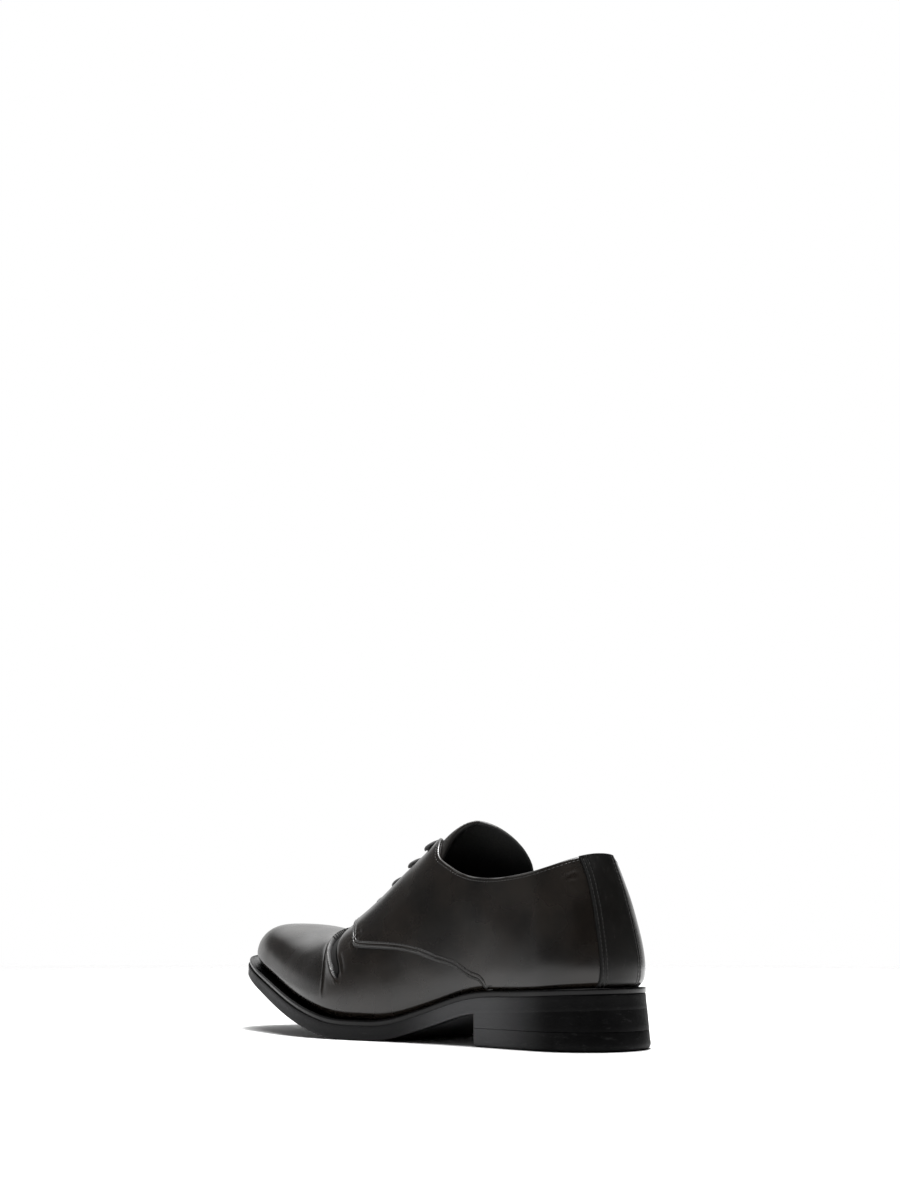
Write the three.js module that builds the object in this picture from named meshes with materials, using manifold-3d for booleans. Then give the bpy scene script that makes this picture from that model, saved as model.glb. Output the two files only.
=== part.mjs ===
// A plain-toe lace-up dress shoe for the left foot, with open facings over a tongue.
// Millimetres. +X to the toe, +Y to the wearer's left (the outer side), +Z up, the floor at z = 0.
// The upper is built like a last: section curves rise from the feather line, where it meets the welt,
// to a ridge over the foot. Every other piece takes its place from the same curves.
import * as THREE from "three";
import { mergeVertices, toCreasedNormals } from "three/addons/utils/BufferGeometryUtils.js";
import Module from "manifold-3d";

const wasm = await Module();
wasm.setup();

// Driving sizes
const LENGTH = 303; // sole, heel to toe
const BALL_WIDTH = 88.5; // upper across the ball of the foot, at the feather line
const INSTEP_HEIGHT = 115; // ridge above the floor, over the top lace
const SEAT_HEIGHT = 19.8; // underside of the sole above the floor, at the back of the heel
const TOE_SPRING = 34.6; // underside of the sole above the floor, at the toe
const COLLAR_HEIGHT = 96.8; // top of the back seam above the floor
const SOLE_THICKNESS = 7.5;
const WELT_THICKNESS = 2.8;
const WELT_MARGIN = 6.5; // sole beyond the feather line, at the toe
const WELT_SETBACK = 0.8; // welt's edge inside the sole's edge
const EDGE_BREAK = 0.8; // bevel on the sole's and the heel's edges
const HEEL_LENGTH = 74; // back of the sole to the heel's front face
const HEEL_FLARE = 3.2; // how far the heel's foot stands behind its top
const TOP_LIFT = 9.4;
const INSOLE_THICKNESS = 3;
const WALL = 1.8; // vamp leather and lining
const QUARTER_STEP = 1.2; // quarters above the vamp
const BACKSTAY_STEP = 0.9; // backstay above the quarters
const BACKSTAY_WIDTH = 25; // strip down the back seam
const TUCK = 2.4; // how far the upper draws in to the feather line
const TUCK_HEIGHT = 4.5; // height over which it does
const THROAT_WIDTH_TOP = 10; // between the facings' edges
const THROAT_WIDTH_FOOT = 8;
const TONGUE_THICKNESS = 2.6;
const TONGUE_WIDTH = 56;
const TONGUE_HEIGHT = 118; // top of the tongue above the floor
const LACE_ROWS = 4;
const LACE_WIDTH = 8;
const LACE_THICKNESS = 2;
const EYELET = 4.6; // hole in the facing
const EYELET_FROM_EDGE = 7.5; // hole's centre from the throat's edge
const CLEARANCE = 0.3; // between curved pieces that meet

// Round ends of the plan, and how square they are
const HEEL_ROUND = 30;
const HEEL_SQUARENESS = 2.15;
const TOE_ROUND = 40;
const TOE_SQUARENESS = 2.3;

// Mesh steps
const STATIONS = 40; // along each side, from the back of the heel to the toe
const CROWN_ROWS = 8; // up each side, above the tuck
const TUCK_ROWS = 3;
const BEYOND = 60; // how far cutters stand out of what they cut

// A table with a row for each section along the shoe. x is a share of LENGTH; a value between two rows
// lies on a smooth curve through the rows.
class Along {
  constructor(columns, rows) {
    this.columns = columns;
    this.rows = rows;
  }

  at(x, column) {
    const k = this.columns.indexOf(column);
    const rows = this.rows;
    const last = rows.length - 1;
    const share = THREE.MathUtils.clamp(x / LENGTH, rows[0][0], rows[last][0]);
    const chord = (i) => (rows[i + 1][k] - rows[i][k]) / (rows[i + 1][0] - rows[i][0]);
    const step = (i) => rows[i + 1][0] - rows[i][0];
    const slope = (i) => {
      if (i === 0) return chord(0);
      if (i === last) return chord(last - 1);
      return (chord(i - 1) * step(i) + chord(i) * step(i - 1)) / (step(i) + step(i - 1));
    };
    let i = 0;
    while (i < last - 1 && share > rows[i + 1][0]) i += 1;
    const h = step(i);
    const t = (share - rows[i][0]) / h;
    const s = 1 - t;
    const ends = rows[i][k] * (1 + 2 * t) * s * s + rows[i + 1][k] * t * t * (3 - 2 * t);
    return ends + h * (slope(i) * t * s * s - slope(i + 1) * t * t * s);
  }
}

// Side profile of the sole: its underside as shares of SEAT_HEIGHT and of TOE_SPRING, its thickness as a
// share of SOLE_THICKNESS
const PROFILE = new Along(["x", "seat", "spring", "thick"], [
  [0.0, 1.0, 0.0, 1.0],
  [0.066, 0.96, 0.0, 1.0],
  [0.148, 0.9, 0.0, 1.0],
  [0.244, 0.83, 0.0, 1.0],
  [0.28, 0.74, 0.0, 1.0],
  [0.33, 0.535, 0.0, 1.0],
  [0.396, 0.24, 0.0, 1.0],
  [0.445, 0.05, 0.0, 1.0],
  [0.48, 0.0, 0.0, 1.0],
  [0.532, 0.0, 0.0, 1.0],
  [0.568, 0.0, 0.02, 1.0],
  [0.61, 0.0, 0.085, 1.0],
  [0.66, 0.0, 0.19, 1.0],
  [0.71, 0.0, 0.31, 1.0],
  [0.76, 0.0, 0.435, 1.0],
  [0.81, 0.0, 0.565, 0.96],
  [0.86, 0.0, 0.7, 0.91],
  [0.91, 0.0, 0.835, 0.87],
  [0.957, 0.0, 0.935, 0.85],
  [1.0, 0.0, 1.0, 0.83],
]);

// Plan of the feather line: its axis and its half widths to the outer and inner side, as shares of
// BALL_WIDTH, and how far the sole stands out of it, as a share of WELT_MARGIN
const PLAN = new Along(["x", "axis", "outer", "inner", "margin"], [
  [0.008, 0.0, 0.322, 0.334, 0.45],
  [0.115, 0.0, 0.35, 0.358, 0.42],
  [0.248, 0.0, 0.356, 0.328, 0.45],
  [0.38, 0.006, 0.384, 0.294, 0.4],
  [0.495, 0.011, 0.458, 0.35, 0.72],
  [0.594, 0.006, 0.508, 0.435, 0.84],
  [0.677, -0.011, 0.497, 0.491, 0.9],
  [0.76, -0.04, 0.452, 0.497, 0.94],
  [0.852, -0.073, 0.384, 0.452, 0.98],
  [0.924, -0.096, 0.345, 0.395, 1.0],
  [0.98, -0.107, 0.333, 0.362, 1.0],
]);

// Sections of the upper. spine: where the section's top stands, as a share of LENGTH. ridge: its height,
// as a share of INSTEP_HEIGHT, which behind the collar is only the form that the collar is cut from.
// foot and crown: exponents of the curve near the welt and near the ridge. swell: fullness low down.
// outer and inner: fullness at half height.
const SECTIONS = new Along(["x", "spine", "ridge", "foot", "crown", "swell", "outer", "inner"], [
  [0.008, 0.188, 1.217, 2.0, 1.45, 0.05, 0.0, 0.0],
  [0.11, 0.218, 1.2, 2.0, 1.5, 0.045, 0.0, 0.01],
  [0.198, 0.264, 1.14, 2.0, 1.7, 0.04, 0.01, 0.03],
  [0.297, 0.33, 1.05, 2.0, 1.85, 0.03, 0.04, 0.1],
  [0.389, 0.396, 0.992, 2.1, 1.95, 0.03, 0.07, 0.16],
  [0.445, 0.445, 0.9, 2.05, 1.85, 0.03, 0.09, 0.16],
  [0.495, 0.495, 0.806, 2.05, 1.85, 0.03, 0.09, 0.13],
  [0.545, 0.545, 0.706, 2.05, 1.85, 0.03, 0.09, 0.09],
  [0.594, 0.594, 0.612, 2.1, 1.95, 0.03, 0.08, 0.07],
  [0.647, 0.647, 0.534, 2.2, 2.2, 0.03, 0.07, 0.06],
  [0.7, 0.7, 0.502, 2.3, 2.3, 0.03, 0.06, 0.05],
  [0.76, 0.76, 0.507, 2.35, 2.4, 0.03, 0.05, 0.05],
  [0.825, 0.825, 0.533, 2.4, 2.6, 0.03, 0.05, 0.05],
  [0.865, 0.865, 0.541, 2.4, 2.7, 0.03, 0.05, 0.05],
  [0.98, 0.914, 0.541, 2.4, 2.9, 0.03, 0.05, 0.05],
]);
const SWELL_AT = 0.13; // share of a section's height at which the swell is fullest

// Topline of the collar in side view, as shares of COLLAR_HEIGHT
const TOPLINE = new Along(["x", "height"], [
  [-0.2, 1.0],
  [0.05, 0.998],
  [0.09, 0.94],
  [0.125, 0.907],
  [0.173, 0.884],
  [0.22, 0.875],
  [0.268, 0.884],
  [0.32, 0.925],
  [0.353, 0.97],
  [0.38, 1.03],
  [0.396, 1.098],
  [0.413, 1.12],
  [0.432, 1.13],
]);

// Seam of the quarters in side view, from the front corner back and down to the welt, as shares of
// INSTEP_HEIGHT
const SEAM = new Along(["x", "height"], [
  [0.2, 0.08],
  [0.222, 0.24],
  [0.25, 0.29],
  [0.294, 0.338],
  [0.34, 0.366],
  [0.383, 0.396],
  [0.447, 0.416],
  [0.534, 0.419],
  [0.66, 0.425],
]);

// Front edges of the quarters in plan: x as a share of LENGTH, distance from the middle as a share of
// BALL_WIDTH
const QUARTER_FRONT = [
  [0.41, 0.9],
  [0.534, 0.475],
  [0.614, 0.215],
  [0.64, 0.1],
  [0.647, 0.0],
];

// Lace rows, eyelets and the ends of the throat, as shares of LENGTH
const LACE_FRONT = 0.58;
const LACE_BACK = 0.442;
const THROAT_FOOT = 0.628;

// Heights of the sole's surfaces at a station. The ball rests flat on the floor.
const soleFoot = (x) => Math.max(SEAT_HEIGHT * PROFILE.at(x, "seat") + TOE_SPRING * PROFILE.at(x, "spring"), 0);
const soleTop = (x) => soleFoot(x) + SOLE_THICKNESS * PROFILE.at(x, "thick");
const weltTop = (x) => soleTop(x) + CLEARANCE + WELT_THICKNESS;
const feather = (x) => weltTop(x) + CLEARANCE;

// Axis of the feather line, and its half width on one side (+1 outer, -1 inner)
const axis = (x) => BALL_WIDTH * PLAN.at(x, "axis");
const halfWidth = (x, side) => BALL_WIDTH * PLAN.at(x, side > 0 ? "outer" : "inner");

// Stations {x, end} from the back to xLast, evenly spaced along the outline. end is the share of the half
// width that is left in the round ends.
function stations(count, xLast) {
  const back = WELT_MARGIN * PLAN.at(0, "margin");
  const front = LENGTH - WELT_MARGIN;
  const fine = [];
  const quarterTurn = 90;
  for (let i = 0; i <= quarterTurn; i += 1) {
    const a = (i / quarterTurn) * (Math.PI / 2);
    const x = back + HEEL_ROUND * (1 - Math.cos(a) ** (2 / HEEL_SQUARENESS));
    fine.push({ x, end: Math.sin(a) ** (2 / HEEL_SQUARENESS) });
  }
  const straight = 240;
  for (let i = 1; i < straight; i += 1) {
    fine.push({ x: THREE.MathUtils.lerp(back + HEEL_ROUND, front - TOE_ROUND, i / straight), end: 1 });
  }
  for (let i = 0; i <= quarterTurn; i += 1) {
    const a = (i / quarterTurn) * (Math.PI / 2);
    const x = front - TOE_ROUND + TOE_ROUND * Math.sin(a) ** (2 / TOE_SQUARENESS);
    fine.push({ x, end: Math.max(Math.cos(a), 0) ** (2 / TOE_SQUARENESS) });
  }
  const kept = fine.filter((s) => s.x <= xLast);
  if (xLast < front) kept.push({ x: xLast, end: 1 });
  const width = (s) => ((halfWidth(s.x, 1) + halfWidth(s.x, -1)) / 2) * s.end;
  const run = [0];
  for (let i = 1; i < kept.length; i += 1) {
    run.push(run[i - 1] + Math.hypot(kept[i].x - kept[i - 1].x, width(kept[i]) - width(kept[i - 1])));
  }
  const even = [];
  let j = 0;
  for (let i = 0; i <= count; i += 1) {
    const goal = (run.at(-1) * i) / count;
    while (j < run.length - 2 && run[j + 1] < goal) j += 1;
    const t = (goal - run[j]) / (run[j + 1] - run[j]);
    even.push({
      x: THREE.MathUtils.lerp(kept[j].x, kept[j + 1].x, t),
      end: THREE.MathUtils.lerp(kept[j].end, kept[j + 1].end, t),
    });
  }
  return even;
}

const FULL = stations(STATIONS, LENGTH);
const isTip = (station) => station.end < 1e-6;

// Plan points of one side's feather line, moved out by grow(x) square to it
function outline(line, side, grow) {
  const at = line.map((s) => new THREE.Vector2(s.x, axis(s.x) + side * halfWidth(s.x, side) * s.end));
  const open = !isTip(line.at(-1));
  return at.map((p, i) => {
    const along = at[Math.min(i + 1, at.length - 1)].clone().sub(at[Math.max(i - 1, 0)]);
    const out = new THREE.Vector2(-along.y, along.x).normalize().multiplyScalar(side);
    if (i === 0) out.set(-1, 0);
    if (i === at.length - 1) out.set(open ? 0 : 1, open ? side : 0);
    return p.clone().addScaledVector(out, grow(p.x));
  });
}

// A solid from three.js geometry, whose vertices are merged first
function solid(geometry) {
  const bare = geometry.clone();
  bare.deleteAttribute("normal");
  bare.deleteAttribute("uv");
  const merged = mergeVertices(bare, 1e-4);
  return new wasm.Manifold(
    new wasm.Mesh({
      numProp: 3,
      vertProperties: new Float32Array(merged.attributes.position.array),
      triVerts: new Uint32Array(merged.index.array),
    }),
  );
}

// Triangles turned so that they face out of the closed body that they bound
function facingOut(points, triangles) {
  let volume = 0;
  for (const [a, b, c] of triangles) {
    volume += points[a].dot(points[b].clone().cross(points[c]));
  }
  return volume > 0 ? triangles : triangles.map(([a, b, c]) => [a, c, b]);
}

function geometryOf(points, triangles) {
  const flat = points.flatMap((p) => [p.x, p.y, p.z]);
  const geometry = new THREE.BufferGeometry();
  geometry.setAttribute("position", new THREE.Float32BufferAttribute(flat, 3));
  return geometry.setIndex(triangles.flat());
}

// A layer of the bottom: rings of {grow, height} stacked up, each a plan outline of both sides. The first
// and last ring are closed by strips across the shoe.
function layer(line, rings) {
  const n = line.length - 1;
  const pointed = isTip(line[n]);
  const points = [];
  const size = pointed ? 2 * n : 2 * n + 1;
  for (const ring of rings) {
    const place = (p) => new THREE.Vector3(p.x, p.y, ring.height(p.x));
    const outer = outline(line, 1, ring.grow).map(place);
    const inner = outline(line, -1, ring.grow).map(place);
    points.push(...outer, ...inner.slice(1, pointed ? n : n + 1));
  }
  const at = (r, side, i) => r * size + (side > 0 || i === 0 || (pointed && i === n) ? i : n + i);
  const loop = [];
  for (let i = 0; i <= n; i += 1) loop.push([1, i]);
  for (let i = pointed ? n - 1 : n; i >= 1; i -= 1) loop.push([-1, i]);
  const triangles = [];
  for (let r = 0; r < rings.length - 1; r += 1) {
    loop.forEach(([side, i], k) => {
      const [nextSide, j] = loop[(k + 1) % loop.length];
      const [a, b] = [at(r, side, i), at(r, nextSide, j)];
      const [c, d] = [at(r + 1, nextSide, j), at(r + 1, side, i)];
      triangles.push([a, b, c], [a, c, d]);
    });
  }
  for (const [r, flip] of [[0, true], [rings.length - 1, false]]) {
    for (let i = 0; i < n; i += 1) {
      const quad = [at(r, 1, i), at(r, 1, i + 1), at(r, -1, i + 1), at(r, -1, i)];
      for (const corners of [[0, 1, 2], [0, 2, 3]]) {
        const triangle = corners.map((c) => quad[c]);
        if (new Set(triangle).size < 3) continue;
        triangles.push(flip ? triangle.reverse() : triangle);
      }
    }
  }
  return geometryOf(points, facingOut(points, triangles));
}

// A side-view area, given as [x, z] points, extruded across the shoe
function acrossArea(points, halfSpan = BEYOND * 2) {
  const shape = new THREE.Shape(points.map(([x, z]) => new THREE.Vector2(x, z)));
  const geometry = new THREE.ExtrudeGeometry(shape, { depth: 2 * halfSpan, bevelEnabled: false });
  return geometry.rotateX(Math.PI / 2).translate(0, halfSpan, 0);
}

// A plan area, given as [x, y] points, extruded from z = low to z = high
function upArea(points, low, high) {
  const shape = new THREE.Shape(points.map(([x, y]) => new THREE.Vector2(x, y)));
  const geometry = new THREE.ExtrudeGeometry(shape, { depth: high - low, bevelEnabled: false });
  return geometry.translate(0, 0, low);
}

// One section column of the upper, from below the feather line to the ridge
function column(station, side) {
  const { x, end } = station;
  const spine = LENGTH * SECTIONS.at(x, "spine");
  const top = new THREE.Vector3(spine, axis(spine), INSTEP_HEIGHT * SECTIONS.at(x, "ridge"));
  const foot = new THREE.Vector2(x, axis(x) + side * halfWidth(x, side) * end);
  const reach = Math.hypot(foot.x - top.x, foot.y - top.y);
  const low = feather(x);
  const rise = top.z - low;
  const [p, k] = [SECTIONS.at(x, "foot"), SECTIONS.at(x, "crown")];
  const belly = SECTIONS.at(x, side > 0 ? "outer" : "inner");
  const swell = SECTIONS.at(x, "swell");
  const blend = Math.min(end * 1.5, 1);
  const level = (share) => {
    const u = share / SWELL_AT;
    const full = 1 + belly * blend * Math.sin(Math.PI * share) + swell * u * Math.exp(1 - u);
    const drawn = (TUCK / reach) * Math.max(0, 1 - (share * rise) / TUCK_HEIGHT) ** 2;
    const out = Math.max(1 - share ** p, 0) ** (1 / k) * full - drawn;
    const plan = new THREE.Vector2(top.x, top.y).lerp(foot, out);
    return new THREE.Vector3(plan.x, plan.y, THREE.MathUtils.lerp(low, top.z, share));
  };
  const shares = [];
  for (let r = 0; r < TUCK_ROWS; r += 1) shares.push((r / TUCK_ROWS) * (TUCK_HEIGHT / rise));
  const from = Math.asin((TUCK_HEIGHT / rise) ** (p / 2));
  for (let r = 0; r <= CROWN_ROWS; r += 1) {
    const t = THREE.MathUtils.lerp(from, Math.PI / 2, r / CROWN_ROWS);
    shares.push(Math.min(Math.sin(t), 1) ** (2 / p));
  }
  const points = shares.map(level);
  points[points.length - 1] = top;
  points.unshift(points[0].clone().setZ(points[0].z - 2 * TUCK_HEIGHT));
  return points;
}

// The last form: a closed shell over the whole foot, moved out by offset square to its surface
const FORM = (() => {
  const n = STATIONS;
  const columns = FULL.map((s) => column(s, 1));
  for (let i = n - 1; i >= 1; i -= 1) columns.push(column(FULL[i], -1));
  const rows = columns[0].length;
  const top = rows - 1;
  const at = (c, r) => (r === top && c > n ? (2 * n - c) * rows + r : c * rows + r);
  const skin = [];
  const count = columns.length;
  for (let c = 0; c < count; c += 1) {
    const next = (c + 1) % count;
    for (let r = 0; r < top; r += 1) {
      const [a, b, d, e] = [at(c, r), at(next, r), at(next, r + 1), at(c, r + 1)];
      skin.push([a, b, d], [a, d, e]);
    }
  }
  const sound = skin.filter((t) => new Set(t).size === 3);
  const points = columns.flat();
  const under = [];
  for (let i = 0; i < n; i += 1) {
    const inner = (k) => (k === 0 || k === n ? k : 2 * n - k);
    const quad = [at(i, 0), at(i + 1, 0), at(inner(i + 1), 0), at(inner(i), 0)];
    for (const corners of [[0, 2, 1], [0, 3, 2]]) {
      const triangle = corners.map((c) => quad[c]);
      if (new Set(triangle).size === 3) under.push(triangle);
    }
  }
  const closed = facingOut(points, [...sound, ...under]);
  const shell = geometryOf(points, closed.slice(0, sound.length));
  shell.computeVertexNormals();
  return { points, triangles: closed, normals: shell.attributes.normal };
})();

function form(offset) {
  const normal = new THREE.Vector3();
  const moved = FORM.points.map((p, i) =>
    p.clone().addScaledVector(normal.fromBufferAttribute(FORM.normals, i), offset),
  );
  return geometryOf(moved, FORM.triangles);
}

// The bottom: sole, welt, heel and insole
const margin = (x) => WELT_MARGIN * PLAN.at(x, "margin");
const HEEL_STATIONS = 16;
const HEEL = stations(HEEL_STATIONS, HEEL_LENGTH);

function outsole() {
  const top = EDGE_BREAK / 2;
  return layer(FULL, [
    { grow: (x) => margin(x) - EDGE_BREAK, height: soleFoot },
    { grow: margin, height: (x) => soleFoot(x) + EDGE_BREAK },
    { grow: margin, height: (x) => soleTop(x) - top },
    { grow: (x) => margin(x) - top, height: soleTop },
  ]);
}

function welt() {
  const edge = EDGE_BREAK / 2;
  const grow = (x) => margin(x) - WELT_SETBACK;
  return layer(FULL, [
    { grow, height: (x) => soleTop(x) + CLEARANCE },
    { grow, height: (x) => weltTop(x) - edge },
    { grow: (x) => grow(x) - edge, height: weltTop },
  ]);
}

// The heel stands out backwards towards its foot: by share 0 at its top and 1 at the floor
function heelGrow(share, inset) {
  return (x) => margin(x) - inset + HEEL_FLARE * share * Math.max(0, 1 - x / (2 * HEEL_ROUND)) ** 2;
}

function heelStack() {
  const share = 1 - TOP_LIFT / SEAT_HEIGHT;
  return layer(HEEL, [
    { grow: heelGrow(share, 0), height: () => TOP_LIFT + CLEARANCE },
    { grow: heelGrow(0, 0), height: (x) => soleFoot(x) - CLEARANCE - EDGE_BREAK },
    { grow: heelGrow(0, EDGE_BREAK), height: (x) => soleFoot(x) - CLEARANCE },
  ]);
}

function topLift() {
  const share = 1 - TOP_LIFT / SEAT_HEIGHT;
  return layer(HEEL, [
    { grow: heelGrow(1, EDGE_BREAK), height: () => 0 },
    { grow: heelGrow(1, 0), height: () => EDGE_BREAK },
    { grow: heelGrow(share, 0), height: () => TOP_LIFT },
  ]);
}

// The ground under the upper: everything below its feather line, and a slab of it upwards by rise
function featherSlab(rise) {
  const steps = 64;
  const upper = [];
  for (let i = 0; i <= steps; i += 1) {
    const x = THREE.MathUtils.lerp(-BEYOND / 2, LENGTH + BEYOND / 2, i / steps);
    upper.push([x, feather(x)]);
  }
  const lower = upper.map(([x, z]) => (rise > 0 ? [x, z + rise] : [x, -BEYOND]));
  return acrossArea([...upper, ...lower.reverse()]);
}

function insole() {
  return solid(form(-WALL - CLEARANCE)).intersect(solid(featherSlab(INSOLE_THICKNESS)));
}

// Areas in side view and in plan that the upper is cut by
const alongTable = (table, column, height, from, to, steps) =>
  Array.from({ length: steps + 1 }, (_, i) => {
    const x = THREE.MathUtils.lerp(from, to, i / steps) * LENGTH;
    return [x, height * table.at(x, column)];
  });
const shareOf = (table, last) => (last ? table.rows.at(-1)[0] : table.rows[0][0]);
const SKY = 2 * INSTEP_HEIGHT;

function collarArea() {
  const line = alongTable(TOPLINE, "height", COLLAR_HEIGHT, shareOf(TOPLINE), shareOf(TOPLINE, true), 44);
  return acrossArea([...line, [line.at(-1)[0], SKY], [line[0][0], SKY]]);
}

function quarterSideArea() {
  const seam = alongTable(SEAM, "height", INSTEP_HEIGHT, shareOf(SEAM), shareOf(SEAM, true), 40);
  return acrossArea([
    [-BEYOND, -BEYOND],
    [seam[0][0], -BEYOND],
    ...seam,
    [seam.at(-1)[0], SKY],
    [-BEYOND, SKY],
  ]);
}

function quarterPlanArea() {
  const front = new THREE.SplineCurve(
    QUARTER_FRONT.map(([x, y]) => new THREE.Vector2(x * LENGTH, y * BALL_WIDTH)),
  ).getPoints(14);
  const outer = front.map((p) => [p.x, p.y + axis(p.x)]);
  const inner = front.map((p) => [p.x, axis(p.x) - p.y]).reverse().slice(1);
  return upArea([[-BEYOND, outer[0][1]], ...outer, ...inner, [-BEYOND, inner.at(-1)[1]]], -BEYOND, SKY);
}

function backstayArea() {
  const half = BACKSTAY_WIDTH / 2;
  const front = HEEL_ROUND * 1.5;
  return upArea([[-BEYOND, -half], [front, -half], [front, half], [-BEYOND, half]], -BEYOND, SKY);
}

// Half the throat's width, from its foot up to the collar
function throatHalf(x) {
  const top = shareOf(TOPLINE, true) * LENGTH;
  const share = THREE.MathUtils.clamp((x - top) / (THROAT_FOOT * LENGTH - top), 0, 1);
  return THREE.MathUtils.lerp(THROAT_WIDTH_TOP, THROAT_WIDTH_FOOT, share) / 2;
}

function throatArea() {
  const back = (shareOf(TOPLINE, true) - 0.03) * LENGTH;
  const radius = THROAT_WIDTH_FOOT / 2;
  const centre = THROAT_FOOT * LENGTH - radius;
  const middle = axis(centre);
  const points = [[back, middle + throatHalf(back)]];
  const steps = 8;
  for (let i = 0; i <= steps; i += 1) {
    const a = Math.PI / 2 - (i / steps) * Math.PI;
    points.push([centre + radius * Math.cos(a), middle + radius * Math.sin(a)]);
  }
  points.push([back, middle - throatHalf(back)]);
  return upArea(points.reverse(), INSTEP_HEIGHT / 3, SKY);
}

// The point and the outward normal of the quarters' surface above (x, y)
const QUARTER_SKIN = new THREE.Mesh(form(QUARTER_STEP), new THREE.MeshBasicMaterial({ side: THREE.DoubleSide }));
function onQuarter(x, y) {
  const down = new THREE.Vector3(0, 0, -1);
  const height = (px, py) => {
    const ray = new THREE.Raycaster(new THREE.Vector3(px, py, SKY), down);
    return ray.intersectObject(QUARTER_SKIN)[0].point.z;
  };
  const d = 2;
  const slopeX = (height(x + d, y) - height(x - d, y)) / (2 * d);
  const slopeY = (height(x, y + d) - height(x, y - d)) / (2 * d);
  return {
    point: new THREE.Vector3(x, y, height(x, y)),
    normal: new THREE.Vector3(-slopeX, -slopeY, 1).normalize(),
  };
}

const laceRowX = (row) => LENGTH * THREE.MathUtils.lerp(LACE_FRONT, LACE_BACK, row / (LACE_ROWS - 1));
function eyelet(row, side) {
  const x = laceRowX(row);
  return onQuarter(x, axis(x) + side * (throatHalf(x) + EYELET_FROM_EDGE));
}

// A pin of the given radius along an eyelet's axis, from low to high above the quarter's surface
function pin({ point, normal }, radius, low, high) {
  const turn = new THREE.Quaternion().setFromUnitVectors(new THREE.Vector3(0, 1, 0), normal);
  const middle = point.clone().addScaledVector(normal, (low + high) / 2);
  const place = new THREE.Matrix4().compose(middle, turn, new THREE.Vector3(1, 1, 1));
  return solid(new THREE.CylinderGeometry(radius, radius, high - low, 8).applyMatrix4(place));
}

function upper() {
  const quarters = solid(form(QUARTER_STEP))
    .intersect(solid(quarterSideArea()))
    .intersect(solid(quarterPlanArea()));
  const backstay = solid(form(QUARTER_STEP + BACKSTAY_STEP)).intersect(solid(backstayArea()));
  let shape = solid(form(0)).add(quarters).add(backstay);
  for (const cutter of [form(-WALL), collarArea(), throatArea(), featherSlab(0)]) {
    shape = shape.subtract(solid(cutter));
  }
  const depth = 3 * (WALL + QUARTER_STEP);
  for (let row = 0; row < LACE_ROWS; row += 1) {
    for (const side of [1, -1]) shape = shape.subtract(pin(eyelet(row, side), EYELET / 2, -depth, depth));
  }
  return shape;
}

// The tongue: a sheet just inside the upper's wall. Its outline in side view is x as a share of LENGTH and
// height as a share of TONGUE_HEIGHT; in plan, x and the share of TONGUE_WIDTH on the outer and the inner side.
const TONGUE_SIDE = [
  [0.4, 1.3],
  [0.362, 1.0],
  [0.345, 0.99],
  [0.321, 0.968],
  [0.295, 0.908],
  [0.279, 0.842],
  [0.27, 0.772],
  [0.277, 0.66],
  [0.36, 0.5],
  [0.5, 0.4],
  [0.67, 0.33],
  [0.67, 1.3],
];
const TONGUE_OUTER = [
  [0.325, 0.02],
  [0.343, 0.07],
  [0.355, 0.143],
  [0.361, 0.22],
  [0.362, 0.3],
  [0.357, 0.4],
  [0.354, 0.5],
  [0.5, 0.46],
  [0.61, 0.36],
  [0.645, 0.24],
  [0.655, 0.0],
];
const TONGUE_INNER = [
  [0.25, 0.2],
  [0.262, 0.32],
  [0.278, 0.42],
  [0.305, 0.48],
  [0.35, 0.5],
  [0.5, 0.46],
  [0.61, 0.36],
  [0.645, 0.24],
];

function tongue() {
  const gap = WALL + CLEARANCE;
  const side = TONGUE_SIDE.map(([x, z]) => [x * LENGTH, z * TONGUE_HEIGHT]);
  const outer = TONGUE_OUTER.map(([x, y]) => [x * LENGTH, y * TONGUE_WIDTH]);
  const inner = TONGUE_INNER.map(([x, y]) => [x * LENGTH, -y * TONGUE_WIDTH]);
  const plan = [...outer, ...inner.reverse()];
  return solid(form(-gap))
    .subtract(solid(form(-gap - TONGUE_THICKNESS)))
    .intersect(solid(acrossArea(side)))
    .intersect(solid(upArea(plan, INSTEP_HEIGHT / 3, SKY)));
}

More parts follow.
